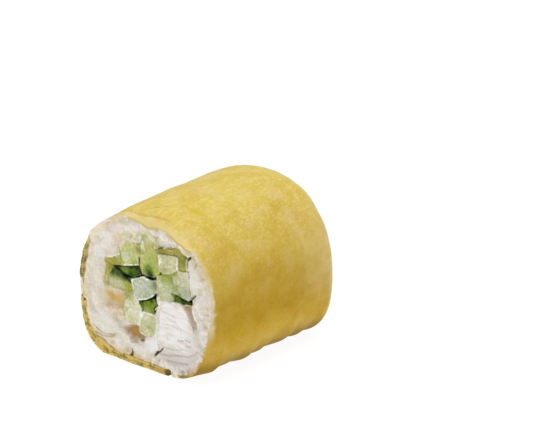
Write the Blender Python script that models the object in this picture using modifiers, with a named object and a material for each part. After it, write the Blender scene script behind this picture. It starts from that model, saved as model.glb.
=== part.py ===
"""A cucumber and cream cheese sushi roll, lying on its side.

A bundle of raw cucumber sticks and a block of cream cheese run through a bed of rice, and a thin
yellow sheet is rolled round the rice and laps over itself underneath. The roll's axis is Y, its
better cut face looks towards -Y, and it rests on the flat of the sheet at z = 0.
"""

import math
import random

import bmesh
import bpy
from mathutils import Euler, Matrix, Vector, noise
from mathutils.bvhtree import BVHTree

MM = 0.001

# The roll, cut from a longer one with a knife at each end.
ROLL_LENGTH = 31.2 * MM
HALF_WIDTH = 15.1 * MM
AXIS_HEIGHT = 12.7 * MM  # the roll sagged, so its axis lies below the middle of its height
TOP_REACH = 15.0 * MM
TOP_POWER = 2.2  # a superellipse's exponent: 2 is round, and more is squarer
LOW_REACH = 13.3 * MM  # more than AXIS_HEIGHT, so the floor cuts the underside flat
LOW_POWER_LEFT = 3.8
LOW_POWER_RIGHT = 3.0
CROWN = 0.45 * MM  # how far the upper side swells between the two cuts
SLUMP = 0.8 * MM  # how far one shoulder has sunk at the front cut
SLUMP_ANGLE = math.radians(128)
SLUMP_SPREAD = math.radians(26)
LUMP = 0.22 * MM  # the rice shows through the sheet as soft lumps
LUMP_SIZE = 7.0 * MM
END_TUCK = 0.45 * MM  # the knife presses the sheet's edge inwards
TOP_TUCK = 0.9 * MM  # and more on top of the front cut, where it came down
TOP_TUCK_ANGLE = math.radians(80)
TOP_TUCK_SPREAD = math.radians(22)
END_TUCK_LENGTH = 2.6 * MM
EDGE_WAVE = 0.25 * MM

# The sheet's outer edge is tucked under the roll, over its inner edge at the lower left.
SHEET = 0.5 * MM
LAP_GAP = 0.2 * MM
LAP_START = math.radians(197)
LAP_ANGLE = math.radians(95)
LAP_BLEND = math.radians(22)
SHEET_STEPS_ROUND = 84
SHEET_STEPS_LONG = 13

# Clearances between pieces that touch.
RICE_TO_SHEET = 0.3 * MM
RICE_TO_FILLING = 0.35 * MM

# Cooked rice grains.
GRAIN_LENGTH = 6.2 * MM
GRAIN_WIDTH = 2.7 * MM
GRAIN_SPACING = 2.35 * MM
GRAINS_EACH_END = 44
GRAIN_TRIES = 6000
GRAIN_SIDES = 6
GRAIN_RINGS = 4
GRAIN_MARGIN = 0.95 * MM  # how far a grain's middle keeps from the rice's outer edge
GRAIN_LEANS = (90, 80, 65, 25)  # degrees between a grain and the roll's axis
CORE_RECESS = 0.9 * MM
CORE_INSET = 0.35 * MM
CORE_AROUND = 48
CORE_STATIONS = 5
ENVELOPE_STATIONS = 13
KNIFE_INSET = 0.1 * MM  # the rice and filling end just inside the sheet's edge
SEED = 20

# Cream cheese: the corners of its cut face, from the lower left anticlockwise, as (x, height).
CHEESE_CORNERS_MM = (
    (4.4, 2.4), (8.0, 2.3), (11.2, 3.8), (12.3, 6.8), (11.6, 9.6), (10.2, 12.5), (8.5, 13.4),
    (6.3, 13.5), (3.6, 12.95), (2.95, 10.2), (2.9, 7.6), (2.5, 5.4), (3.0, 3.9),
)
CHEESE_STATIONS = 7
CHEESE_WOBBLE = 0.15 * MM
CHEESE_RECESS = 0.2 * MM

# Cucumber sticks: the corners of each on the cut face, anticlockwise, as (x, height) in millimetres,
# then the recess at the front and at the back, and the tone. Neighbours all but touch, and each
# solid is a little less than its outline.
STICKS = {
    "upper_left": (
        ((-5.3, 16.95), (-1.35, 18.1), (-1.25, 21.3), (-2.6, 22.2), (-4.4, 21.8), (-5.75, 20.2),
         (-5.5, 18.6)),
        0.1, 0.5, "flesh"),
    "left_band": (
        ((-7.55, 16.4), (-5.45, 17.0), (-5.7, 18.6), (-7.3, 18.0), (-9.2, 17.15)),
        0.3, 0.1, "rind_flesh"),
    "left_shard": (
        ((-9.4, 13.2), (-9.0, 13.1), (-8.7, 14.6), (-8.1, 15.3), (-7.7, 16.3), (-9.2, 16.95)),
        0.4, 0.3, "rind_flesh"),
    "dark_wedge": (
        ((-7.3, 16.2), (-5.3, 15.55), (-3.2, 15.3), (-0.95, 16.5), (-0.85, 17.0), (-1.35, 17.9)),
        0.7, 0.2, "rind"),
    "round_top": (
        ((-0.6, 16.7), (2.3, 16.8), (3.1, 17.5), (3.15, 21.2), (2.6, 21.25), (0.0, 20.35),
         (-1.0, 19.5), (-1.1, 18.1)),
        0.2, 0.7, "green"),
    "striped": (
        ((3.35, 18.6), (4.4, 18.05), (6.3, 18.4), (7.55, 19.4), (7.4, 21.85), (3.35, 21.1)),
        0.1, 0.4, "flesh"),
    "top_band": (
        ((2.4, 21.55), (3.3, 21.35), (7.5, 22.1), (9.3, 21.9), (9.75, 22.3), (7.3, 23.4),
         (4.9, 23.0), (2.7, 22.1)),
        0.4, 0.2, "rind_flesh"),
    "right_band": (
        ((7.75, 19.4), (9.45, 19.85), (9.25, 21.65), (7.65, 21.85)),
        0.4, 0.3, "rind_flesh"),
    "top": (
        ((0.05, 20.95), (2.2, 21.6), (2.45, 22.3), (1.9, 23.8), (0.1, 23.6)),
        0.2, 0.1, "flesh"),
    "top_shard": (
        ((-1.0, 19.9), (-0.15, 20.6), (-0.1, 23.3), (-0.9, 22.9)),
        0.3, 0.4, "flesh"),
    "right": (
        ((6.5, 15.7), (7.0, 15.3), (10.4, 15.2), (10.75, 15.5), (10.05, 16.9), (9.95, 18.8),
         (9.5, 19.6), (7.6, 19.15), (6.6, 18.35)),
        0.1, 0.6, "flesh"),
    "middle_right": (
        ((3.1, 14.0), (3.7, 13.35), (6.3, 13.95), (6.35, 18.15), (2.95, 17.3)),
        0.1, 0.2, "flesh"),
    "middle": (
        ((-1.7, 11.8), (0.1, 12.2), (2.3, 13.65), (2.6, 14.4), (2.5, 16.2), (1.2, 16.3),
         (-0.75, 16.2), (-3.0, 15.05), (-2.45, 12.9)),
        0.1, 0.5, "flesh"),
    "left": (
        ((-8.9, 12.9), (-7.0, 12.4), (-3.8, 12.55), (-3.15, 13.6), (-3.25, 14.95), (-5.3, 15.25),
         (-7.5, 15.95), (-8.6, 14.5)),
        0.3, 0.1, "green"),
    "right_sliver": (
        ((6.55, 13.8), (7.4, 13.75), (10.45, 14.25), (10.45, 14.8), (7.0, 15.0), (6.55, 14.85)),
        0.5, 0.4, "rind"),
    "green_bar": (
        ((-0.85, 10.4), (0.0, 10.05), (1.9, 10.15), (2.1, 10.9), (2.85, 11.8), (2.75, 12.2),
         (1.6, 12.75), (0.2, 12.05), (-1.4, 11.4)),
        0.4, 0.2, "green"),
    "lower": (
        ((-1.5, 6.15), (0.3, 5.8), (1.9, 6.2), (2.45, 7.4), (2.3, 9.6), (1.9, 9.85),
         (-0.5, 9.85), (-1.25, 8.6)),
        0.2, 0.3, "flesh"),
    "lower_left": (
        ((-4.6, 7.3), (-1.85, 7.2), (-1.5, 8.8), (-1.15, 10.0), (-1.6, 11.2), (-2.55, 12.35),
         (-3.6, 12.25), (-4.6, 11.0), (-5.2, 9.2)),
        0.2, 0.6, "flesh"),
}
STICK_INSET = 0.13 * MM  # how much less each solid is than its outline, on every side
STICK_BEVEL = 0.14 * MM

# Colours as seen, in sRGB.
SHEET_COLOUR = "E0C46A"
RICE_COLOUR = "EBE6D8"
CHEESE_COLOUR = "F3EFEA"
STICK_COLOURS = {
    "flesh": "C5CBA4",
    "green": "93A656",
    "rind_flesh": "A8A553",
    "rind": "3F5A26",
}


def clear_scene():
    for obj in list(bpy.data.objects):
        bpy.data.objects.remove(obj, do_unlink=True)


def new_collection(name):
    collection = bpy.data.collections.new(name)
    bpy.context.scene.collection.children.link(collection)
    return collection


def linear(hex_colour):
    """A linear RGBA colour from an sRGB one such as E0C46A."""
    channels = [int(hex_colour[at : at + 2], 16) / 255 for at in (0, 2, 4)]
    return [c / 12.92 if c <= 0.04045 else ((c + 0.055) / 1.055) ** 2.4 for c in channels] + [1]


def new_material(name, hex_colour, roughness):
    material = bpy.data.materials.new(name)
    material.use_nodes = True
    shader = material.node_tree.nodes["Principled BSDF"]
    shader.inputs["Base Color"].default_value = linear(hex_colour)
    shader.inputs["Roughness"].default_value = roughness
    shader.inputs["Metallic"].default_value = 0
    return material


def new_object(name, bm, collection, material=None):
    """Makes an object of a bmesh, and frees the bmesh."""
    mesh = bpy.data.meshes.new(name)
    bm.to_mesh(mesh)
    bm.free()
    obj = bpy.data.objects.new(name, mesh)
    collection.objects.link(obj)
    if material:
        mesh.materials.append(material)
    return obj


def shade(obj, sharp_degrees):
    obj.data.shade_smooth()
    obj.data.set_sharp_from_angle(angle=math.radians(sharp_degrees))


# ---------------------------------------------------------------- the roll's outline


def outline_radius(angle, along):
    """Distance from the roll's axis to its skin, before lumps, in the plane y = along."""
    across, upright = abs(math.cos(angle)), abs(math.sin(angle))
    if math.sin(angle) >= 0:
        reach, power = TOP_REACH, TOP_POWER
    else:
        reach = LOW_REACH
        power = LOW_POWER_RIGHT if math.cos(angle) > 0 else LOW_POWER_LEFT
    radius = ((across / HALF_WIDTH) ** power + (upright / reach) ** power) ** (-1 / power)
    crown = CROWN * max(0.0, math.sin(angle)) * (1 - (2 * along / ROLL_LENGTH) ** 2)
    turned = (angle % math.tau - SLUMP_ANGLE) / SLUMP_SPREAD
    to_front = min(max(0.5 - along / ROLL_LENGTH, 0.0), 1.0)
    return radius + crown - SLUMP * to_front**2 * math.exp(-(turned**2))


def end_tuck(angle, along):
    """How far the skin is pressed in near a cut."""
    to_end = max(0.0, 1 - (ROLL_LENGTH / 2 - abs(along)) / END_TUCK_LENGTH)
    turned = (angle % math.tau - TOP_TUCK_ANGLE) / TOP_TUCK_SPREAD
    on_top = TOP_TUCK * math.exp(-(turned**2)) if along < 0 else 0.0
    return (END_TUCK + on_top) * to_end**2.5


def skin_point(angle, along, depth=0.0):
    """A point at that depth under the roll's skin; depth 0 is the skin itself."""
    radius = outline_radius(angle, along)
    round_the_roll = Vector((radius * math.cos(angle), along, radius * math.sin(angle)))
    lump = LUMP * noise.noise(round_the_roll / LUMP_SIZE)
    radius += lump - end_tuck(angle, along) - depth
    x = radius * math.cos(angle)
    z = AXIS_HEIGHT + radius * math.sin(angle)
    return Vector((x, along, max(z, depth)))


def lap_depth(turned):
    """How far the rolled sheet lies inside the skin, after turning so far from its inner edge."""
    past = (turned - LAP_ANGLE) / LAP_BLEND
    ease = min(max(past, 0.0), 1.0)
    return (SHEET + LAP_GAP) * (1 - ease * ease * (3 - 2 * ease))


def sheet_depth(angle):
    """Depth of the sheet's innermost face at an angle round the roll."""
    turned = (angle - LAP_START) % math.tau
    before = max(0.0, 1 - (math.tau - turned) / LAP_BLEND)
    return SHEET + max(lap_depth(turned), (SHEET + LAP_GAP) * min(1.0, 2 * before))


# ---------------------------------------------------------------- pieces


def make_wrapper(collection):
    """The sheet: a flat grid rolled round the outline, and given its thickness inwards."""
    bm = bmesh.new()
    bmesh.ops.create_grid(bm, x_segments=SHEET_STEPS_ROUND, y_segments=SHEET_STEPS_LONG, size=1)
    for vertex in bm.verts:
        turned = (vertex.co.x + 1) / 2 * (math.tau + LAP_ANGLE)
        wave = noise.noise(Vector((3 * math.cos(turned), vertex.co.y, 3 * math.sin(turned))))
        half_length = ROLL_LENGTH / 2 + EDGE_WAVE * (wave - 0.4)
        along = half_length * math.sin(vertex.co.y * math.pi / 2)  # closer rows near the ends
        vertex.co = skin_point(LAP_START + turned, along, lap_depth(turned))
    bmesh.ops.recalc_face_normals(bm, faces=bm.faces)
    highest = max(bm.faces, key=lambda face: face.calc_center_median().z)
    if highest.normal.z < 0:
        bmesh.ops.reverse_faces(bm, faces=bm.faces)
    wrapper = new_object("wrapper", bm, collection, new_material("sheet", SHEET_COLOUR, 0.5))
    thickness = wrapper.modifiers.new("thickness", "SOLIDIFY")
    thickness.thickness = SHEET
    thickness.offset = -1
    shade(wrapper, 40)
    return wrapper


def inset_outline(corners_mm, inset):
    """An anticlockwise outline with every edge moved in; a negative inset moves them out."""
    corners = [Vector(corner) * MM for corner in corners_mm]
    moved = []
    for before, corner, after in zip(corners[-1:] + corners, corners, corners[1:] + corners[:1]):
        edges = ((corner - before).normalized(), (after - corner).normalized())
        first, second = [Vector((-edge.y, edge.x)) for edge in edges]
        moved.append(corner + (first + second) * inset / (1 + first.dot(second)))
    return moved


def stick_bmesh(corners_mm, inset, front, back):
    outline = inset_outline(corners_mm, inset)
    return loft([[Vector((corner.x, y, corner.y)) for corner in outline] for y in (front, back)])


def make_stick(name, spec, collection, materials):
    corners_mm, front_recess, back_recess, tone = spec
    reach = ROLL_LENGTH / 2 - KNIFE_INSET
    bm = stick_bmesh(corners_mm, STICK_INSET, front_recess * MM - reach, reach - back_recess * MM)
    stick = new_object("cucumber_" + name, bm, collection, materials[tone])
    bevel = stick.modifiers.new("knife_edges", "BEVEL")
    bevel.width = STICK_BEVEL
    bevel.segments = 1
    shade(stick, 50)
    return stick


def cheese_ring(y, grow=0.0, wobble=0.0):
    """The cheese's outline across the roll at y, grown outwards."""
    ring = []
    for corner in inset_outline(CHEESE_CORNERS_MM, -grow):
        place = Vector((corner.x, y, corner.y))
        nudge = wobble * noise.noise_vector(place / LUMP_SIZE * 2)
        ring.append(place + Vector((nudge.x, 0, nudge.z)))
    return ring


def loft(rings):
    """A closed bmesh through rings of points of one count, with a flat cap at each end."""
    bm = bmesh.new()
    rows = [[bm.verts.new(point) for point in ring] for ring in rings]
    for near, far in zip(rows, rows[1:]):
        for at in range(len(near)):
            after = (at + 1) % len(near)
            bm.faces.new((near[at], near[after], far[after], far[at]))
    bm.faces.new(rows[0])
    bm.faces.new(rows[-1])
    bmesh.ops.recalc_face_normals(bm, faces=bm.faces)
    return bm


def make_cheese(collection):
    """A soft block: a coarse cage with its end corners held, and subdivided."""
    reach = ROLL_LENGTH / 2 - KNIFE_INSET - CHEESE_RECESS
    rings = []
    for station in range(CHEESE_STATIONS):
        y = reach * (2 * station / (CHEESE_STATIONS - 1) - 1)
        rings.append(cheese_ring(y, wobble=CHEESE_WOBBLE))
    bm = loft(rings)
    crease = bm.edges.layers.float.new("crease_edge")
    for edge in bm.edges:
        if all(abs(abs(vertex.co.y) - reach) < 0.01 * MM for vertex in edge.verts):
            edge[crease] = 0.8
    cheese = new_object(
        "cream_cheese", bm, collection, new_material("cream_cheese", CHEESE_COLOUR, 0.6)
    )
    soft = cheese.modifiers.new("soft", "SUBSURF")
    soft.levels = 1
    soft.render_levels = soft.levels
    shade(cheese, 50)
    return cheese


# ---------------------------------------------------------------- rice


def cutter(name, bm, collection):
    obj = new_object(name, bm, collection)
    obj.hide_render = True
    obj.display_type = "WIRE"
    return obj


def roll_solid(half_length, depth, around, stations):
    """A closed solid that follows the roll's skin at a depth under the sheet, as a bmesh."""
    rings = []
    for station in range(stations):
        y = half_length * (2 * station / (stations - 1) - 1)
        angles = [math.tau * at / around for at in range(around)]
        rings.append([skin_point(angle, y, sheet_depth(angle) + depth) for angle in angles])
    return loft(rings)


def filling_channel(cutters):
    """One prism for each stick and for the cheese, grown by the clearance, in one collection."""
    pieces = bpy.data.collections.new("filling_prisms")
    cutters.children.link(pieces)
    growth = RICE_TO_FILLING - STICK_INSET
    for name, spec in STICKS.items():
        bm = stick_bmesh(spec[0], -growth, -ROLL_LENGTH, ROLL_LENGTH)
        cutter("prism_" + name, bm, pieces)
    ends = [cheese_ring(y, RICE_TO_FILLING + CHEESE_WOBBLE) for y in (-ROLL_LENGTH, ROLL_LENGTH)]
    cutter("prism_cheese", loft(ends), pieces)
    return pieces


def filling_trees(channel):
    return [
        BVHTree.FromPolygons(
            [vertex.co for vertex in obj.data.vertices],
            [face.vertices for face in obj.data.polygons],
        )
        for obj in channel.objects
    ]


def clearance(point, trees):
    """Distance from a point to the nearest filling prism, negative inside one."""
    nearest = math.inf
    for tree in trees:
        place, normal, _, distance = tree.find_nearest(point)
        nearest = min(nearest, math.copysign(distance, (point - place).dot(normal)))
    return nearest


def grain_places(draw, trees):
    """Seeded places on the cut face, in the rice, each a little way from the last ones."""
    places = []
    for _ in range(GRAIN_TRIES):
        x = draw.uniform(-HALF_WIDTH, HALF_WIDTH)
        z = draw.uniform(0, AXIS_HEIGHT + TOP_REACH)
        angle = math.atan2(z - AXIS_HEIGHT, x)
        skin = skin_point(angle, 0, sheet_depth(angle) + RICE_TO_SHEET)
        middle = Vector((0, 0, AXIS_HEIGHT))
        point = Vector((x, 0, z))
        if (skin - middle).length - (point - middle).length < GRAIN_MARGIN:
            continue
        if clearance(point, trees) < GRAIN_MARGIN / 2:
            continue
        if any((point - other).length < GRAIN_SPACING for other in places):
            continue
        places.append(point)
        if len(places) == GRAINS_EACH_END:
            break
    return places


def add_grains(end, draw, trees, collection):
    """Grains at one cut face; end is -1 for the front and 1 for the back."""
    for place in grain_places(draw, trees):
        bm = bmesh.new()
        bmesh.ops.create_uvsphere(bm, u_segments=GRAIN_SIDES, v_segments=GRAIN_RINGS, radius=0.5)
        length = GRAIN_LENGTH * draw.uniform(0.85, 1.1)
        width = GRAIN_WIDTH * draw.uniform(0.9, 1.1)
        size = Matrix.Diagonal((width, width * 0.9, length, 1))
        lean = math.radians(draw.choice(GRAIN_LEANS))
        round_roll = math.atan2(place.z - AXIS_HEIGHT, place.x) + draw.uniform(-0.6, 0.6)
        turn = Euler((0, lean, math.pi - round_roll)).to_matrix()
        tilt = Matrix.Rotation(math.radians(90), 3, "X") @ turn
        y = end * (ROLL_LENGTH / 2 - KNIFE_INSET - draw.uniform(0.2, 0.55) * GRAIN_WIDTH)
        matrix = Matrix.Translation(Vector((place.x, y, place.z))) @ tilt.to_4x4() @ size
        bmesh.ops.transform(bm, matrix=matrix, verts=bm.verts)
        cutter("grain", bm, collection)


def boolean(obj, operation, other):
    modifier = obj.modifiers.new(operation.lower(), "BOOLEAN")
    modifier.operation = operation
    if isinstance(other, bpy.types.Collection):
        modifier.operand_type = "COLLECTION"
        modifier.collection = other
    else:
        modifier.object = other
    modifier.solver = "MANIFOLD"
    bpy.context.view_layer.update()
    graph = bpy.context.evaluated_depsgraph_get()
    mesh = bpy.data.meshes.new_from_object(obj.evaluated_get(graph))
    obj.modifiers.clear()
    obj.data = mesh


def remove_collection(collection):
    for obj in list(collection.objects):
        bpy.data.objects.remove(obj, do_unlink=True)
    bpy.data.collections.remove(collection)


def keep_largest_body(obj):
    """Drops loose scraps, and fills sealed hollows by dropping their inner skins."""
    bm = bmesh.new()
    bm.from_mesh(obj.data)
    left = set(bm.verts)
    bodies = []
    while left:
        body, edge_of_body = set(), [left.pop()]
        while edge_of_body:
            vertex = edge_of_body.pop()
            body.add(vertex)
            near = {edge.other_vert(vertex) for edge in vertex.link_edges} & left
            left -= near
            edge_of_body.extend(near)
        bodies.append(body)
    largest = max(bodies, key=len)
    scraps = [vertex for body in bodies if body is not largest for vertex in body]
    bmesh.ops.delete(bm, geom=scraps, context="VERTS")
    bm.to_mesh(obj.data)
    bm.free()


def make_rice(collection, cutters):
    half = ROLL_LENGTH / 2 - KNIFE_INSET
    core_depth = RICE_TO_SHEET + CORE_INSET
    core_bm = roll_solid(half - CORE_RECESS, core_depth, CORE_AROUND, CORE_STATIONS)
    rice = new_object("rice", core_bm, collection, new_material("rice", RICE_COLOUR, 0.4))
    channel = filling_channel(cutters)
    trees = filling_trees(channel)
    grains = bpy.data.collections.new("grains")
    cutters.children.link(grains)
    draw = random.Random(SEED)
    for end in (-1, 1):
        add_grains(end, draw, trees, grains)
    boolean(rice, "UNION", grains)
    remove_collection(grains)
    envelope_bm = roll_solid(half, RICE_TO_SHEET, CORE_AROUND, ENVELOPE_STATIONS)
    envelope = cutter("envelope", envelope_bm, cutters)
    boolean(rice, "INTERSECT", envelope)
    boolean(rice, "DIFFERENCE", channel)
    remove_collection(channel)
    bpy.data.objects.remove(envelope, do_unlink=True)
    keep_largest_body(rice)
    shade(rice, 60)
    return rice


def main():
    clear_scene()
    roll = new_collection("cucumber_cheese_roll")
    cutters = new_collection("cutters")
    cutters.hide_render = True
    tones = {tone: new_material("cucumber_" + tone, c, 0.35) for tone, c in STICK_COLOURS.items()}
    make_wrapper(roll)
    make_cheese(roll)
    for name, spec in STICKS.items():
        make_stick(name, spec, roll, tones)
    make_rice(roll, cutters)


main()
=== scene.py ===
"""The looks of the cucumber and cream cheese roll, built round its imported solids.

Everything is in metres, in the frame of the solids: the roll's axis is Y, its better cut face looks
towards -Y, and it rests on z = 0. Skin formulas and stick places follow those of the part's source.
"""

import math
import random

import bpy
import numpy as np
from mathutils import Matrix, Vector, noise


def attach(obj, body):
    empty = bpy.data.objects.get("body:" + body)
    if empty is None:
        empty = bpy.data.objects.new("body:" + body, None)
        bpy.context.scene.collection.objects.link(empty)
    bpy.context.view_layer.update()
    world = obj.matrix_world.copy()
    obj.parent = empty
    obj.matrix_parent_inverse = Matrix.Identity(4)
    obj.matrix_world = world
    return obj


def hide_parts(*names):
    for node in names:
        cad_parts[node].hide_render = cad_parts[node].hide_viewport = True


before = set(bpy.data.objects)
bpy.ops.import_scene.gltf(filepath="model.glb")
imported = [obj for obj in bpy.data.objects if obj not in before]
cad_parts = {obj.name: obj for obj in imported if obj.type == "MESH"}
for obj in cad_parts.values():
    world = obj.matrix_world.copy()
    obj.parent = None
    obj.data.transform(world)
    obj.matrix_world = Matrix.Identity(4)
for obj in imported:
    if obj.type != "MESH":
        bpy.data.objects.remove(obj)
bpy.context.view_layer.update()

MM = 0.001

# -------- the roll, as in the part's source

ROLL_LENGTH = 31.2 * MM
HALF_LENGTH = ROLL_LENGTH / 2
HALF_WIDTH = 15.1 * MM
AXIS_HEIGHT = 12.7 * MM
TOP_REACH = 15.0 * MM
TOP_POWER = 2.2
LOW_REACH = 13.3 * MM
LOW_POWER_LEFT = 3.8
LOW_POWER_RIGHT = 3.0
CROWN = 0.45 * MM
SLUMP = 0.8 * MM
SLUMP_ANGLE = math.radians(128)
SLUMP_SPREAD = math.radians(26)
LUMP = 0.22 * MM
LUMP_SIZE = 7.0 * MM
END_TUCK = 0.45 * MM
TOP_TUCK = 0.9 * MM
TOP_TUCK_ANGLE = math.radians(80)
TOP_TUCK_SPREAD = math.radians(22)
END_TUCK_LENGTH = 2.6 * MM
EDGE_WAVE = 0.25 * MM
SHEET = 0.5 * MM
LAP_GAP = 0.05 * MM  # less than between the solids: the real layers stick to each other
LAP_START = math.radians(197)
LAP_ANGLE = math.radians(95)
LAP_BLEND = math.radians(22)
INNER_EDGE_GAP = math.radians(2)  # the rice keeps this clear of the sheet's inner edge
KNIFE_INSET = 0.1 * MM
KNIFE_PLANE = HALF_LENGTH - KNIFE_INSET
RICE_TO_SHEET = -0.07 * MM  # the rice sticks to the sheet and to the filling
RICE_TO_FILLING = -0.07 * MM

CHEESE_CORNERS_MM = (
    (4.2, 2.2), (8.0, 2.0), (11.0, 3.6), (12.2, 6.4), (11.3, 9.0), (10.3, 10.8), (9.3, 12.6),
    (8.3, 13.45), (6.3, 13.5), (3.5, 12.95), (2.8, 10.3), (2.8, 7.7), (2.4, 5.4), (2.8, 3.7),
)

CHEESE_RECESS = 0.1 * MM
CHEESE_BACK_RECESS = 0.2 * MM
CHEESE_EDGE = 0.12 * MM
CHEESE_CORNER_CUT = 0.2
CHEESE_WOBBLE = 0.2 * MM
CHEESE_WOBBLE_SIZE = 0.8 * MM
CHEESE_POINTS = 220
CHEESE_RINGS = 56
SMEAR_TURN = math.radians(12)  # the knife's smears on the cheese lean so far from level

# Each stick's corners on the cut face, then its recess in front and at the back, in millimetres.
STICKS = {
    "upper_left": (
        ((-5.3, 16.95), (-1.35, 18.1), (-1.25, 21.3), (-2.6, 22.2), (-4.4, 21.8), (-5.75, 20.2),
         (-5.5, 18.6)),
        0.1, 0.5),
    "left_band": (
        ((-7.55, 16.4), (-5.45, 17.0), (-5.7, 18.6), (-7.3, 18.0), (-9.2, 17.15)),
        0.3, 0.1),
    "left_shard": (
        ((-9.4, 13.2), (-9.0, 13.1), (-8.7, 14.6), (-8.1, 15.3), (-7.7, 16.3), (-9.2, 16.95)),
        0.4, 0.3),
    "dark_wedge": (
        ((-7.3, 16.2), (-5.3, 15.55), (-3.2, 15.3), (-0.95, 16.5), (-0.85, 17.0), (-1.35, 17.9)),
        0.7, 0.2),
    "round_top": (
        ((-0.6, 16.7), (2.3, 16.8), (3.1, 17.5), (3.15, 21.2), (2.6, 21.25), (0.0, 20.35),
         (-1.0, 19.5), (-1.1, 18.1)),
        0.2, 0.7),
    "striped": (
        ((3.35, 18.6), (4.4, 18.05), (6.3, 18.4), (7.55, 19.4), (7.4, 21.85), (3.35, 21.1)),
        0.1, 0.4),
    "top_band": (
        ((2.4, 21.55), (3.3, 21.35), (7.5, 22.1), (9.3, 21.9), (9.75, 22.3), (7.3, 23.4),
         (4.9, 23.0), (2.7, 22.1)),
        0.4, 0.2),
    "right_band": (
        ((7.75, 19.4), (9.45, 19.85), (9.25, 21.65), (7.65, 21.85)),
        0.4, 0.3),
    "top": (
        ((0.05, 20.95), (2.2, 21.6), (2.45, 22.3), (1.9, 23.8), (0.1, 23.6)),
        0.2, 0.1),
    "top_shard": (
        ((-1.0, 19.9), (-0.15, 20.6), (-0.1, 23.3), (-0.9, 22.9)),
        0.3, 0.4),
    "right": (
        ((6.5, 15.6), (7.0, 15.25), (9.9, 14.7), (10.5, 15.3), (10.05, 16.9), (9.95, 18.8),
         (9.5, 19.6), (7.6, 19.15), (6.6, 18.35)),
        0.1, 0.6),
    "middle_right": (
        ((3.1, 14.0), (3.7, 13.35), (6.3, 13.95), (6.35, 18.15), (2.95, 17.3)),
        0.1, 0.2),
    "middle": (
        ((-1.7, 11.8), (0.1, 12.2), (2.3, 13.65), (2.6, 14.4), (2.5, 16.2), (1.2, 16.3),
         (-0.75, 16.2), (-3.0, 15.05), (-2.45, 12.9)),
        0.1, 0.5),
    "left": (
        ((-8.9, 12.9), (-7.0, 12.4), (-3.8, 12.55), (-3.15, 13.6), (-3.25, 14.95), (-5.3, 15.25),
         (-7.5, 15.95), (-8.6, 14.5)),
        0.3, 0.1),
    "right_sliver": (
        ((6.55, 13.75), (7.4, 13.65), (10.4, 13.9), (10.45, 14.15), (9.6, 14.35), (7.0, 14.9),
         (6.55, 14.9)),
        0.5, 0.4),
    "green_bar": (
        ((-0.85, 10.4), (0.0, 10.05), (1.9, 10.15), (2.1, 10.9), (2.85, 11.8), (2.75, 12.2),
         (1.6, 12.75), (0.2, 12.05), (-1.4, 11.4)),
        0.4, 0.2),
    "lower": (
        ((-1.5, 6.15), (0.3, 5.8), (1.9, 6.2), (2.45, 7.4), (2.3, 9.6), (1.9, 9.85),
         (-0.5, 9.85), (-1.25, 8.6)),
        0.2, 0.3),
    "lower_left": (
        ((-4.6, 7.3), (-1.85, 7.2), (-1.5, 8.8), (-1.15, 10.0), (-1.6, 11.2), (-2.55, 12.35),
         (-3.6, 12.25), (-4.6, 11.0), (-5.2, 9.2)),
        0.2, 0.6),
}
# The real sticks press on each other, where the solids keep clear: each swells towards its
# neighbours until they touch. A few pairs gape.
SWELL = 0.32 * MM
FILM = -0.04 * MM
CRACK = 0.3 * MM
STICK_POINTS = 110
STICK_CAP_RINGS = 17
STICK_EDGE = 0.05 * MM
STICK_WOBBLE = 0.07 * MM
STICK_WOBBLE_SIZE = 0.9 * MM
STICK_RELIEF = 0.09 * MM
STICK_FINE_RELIEF = 0.03 * MM
STICK_DOME = 0.05 * MM
CORNER_CUT = 0.07  # share of each side that the rounding of its corners takes
DULL_STICKS = ("dark_wedge", "right_sliver", "green_bar")
CRACKED_PAIRS = (
    {"dark_wedge", "left"}, {"dark_wedge", "upper_left"}, {"dark_wedge", "round_top"},
    {"round_top", "middle"}, {"middle", "green_bar"}, {"right", "right_sliver"},
    {"middle", "dark_wedge"}, {"left_band", "dark_wedge"},
)

# Colours in sRGB.
RICE_CREAM = "E8DDC2"
RICE_WHITE = "F4EEE6"
RICE_COOL = "DCD4CE"
RICE_YELLOW = "E6CC80"
RICE_OLIVE = "CFC08A"
RICE_VALLEY_SHADE = "D9C8A6"
CHEESE_GREY = "E2D8D0"
PATCH = "D3AF4A"
TAN = "B48834"
BROWN = "8A6A38"
DARK = "3A3218"
OLIVE = "A1973F"
# Near black painted on the sunken rice in the cracks, as shadow.
CRACK_SHADOW = "101A06"
# Near black, painted as shadow in cracks and sunken places.
SHADOW_BLACK = "060A02"
PEACH = "FFEFCC"
GAP_GREEN = "B4B870"
WHITE = "FFFFFF"
# White for painted highlights on wet edges and rims, and for a white smear in one hollow.
HIGHLIGHT_AND_SMEAR_WHITE = "FFFFF4"
RICE_SHADE = "C8BA9E"
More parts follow.
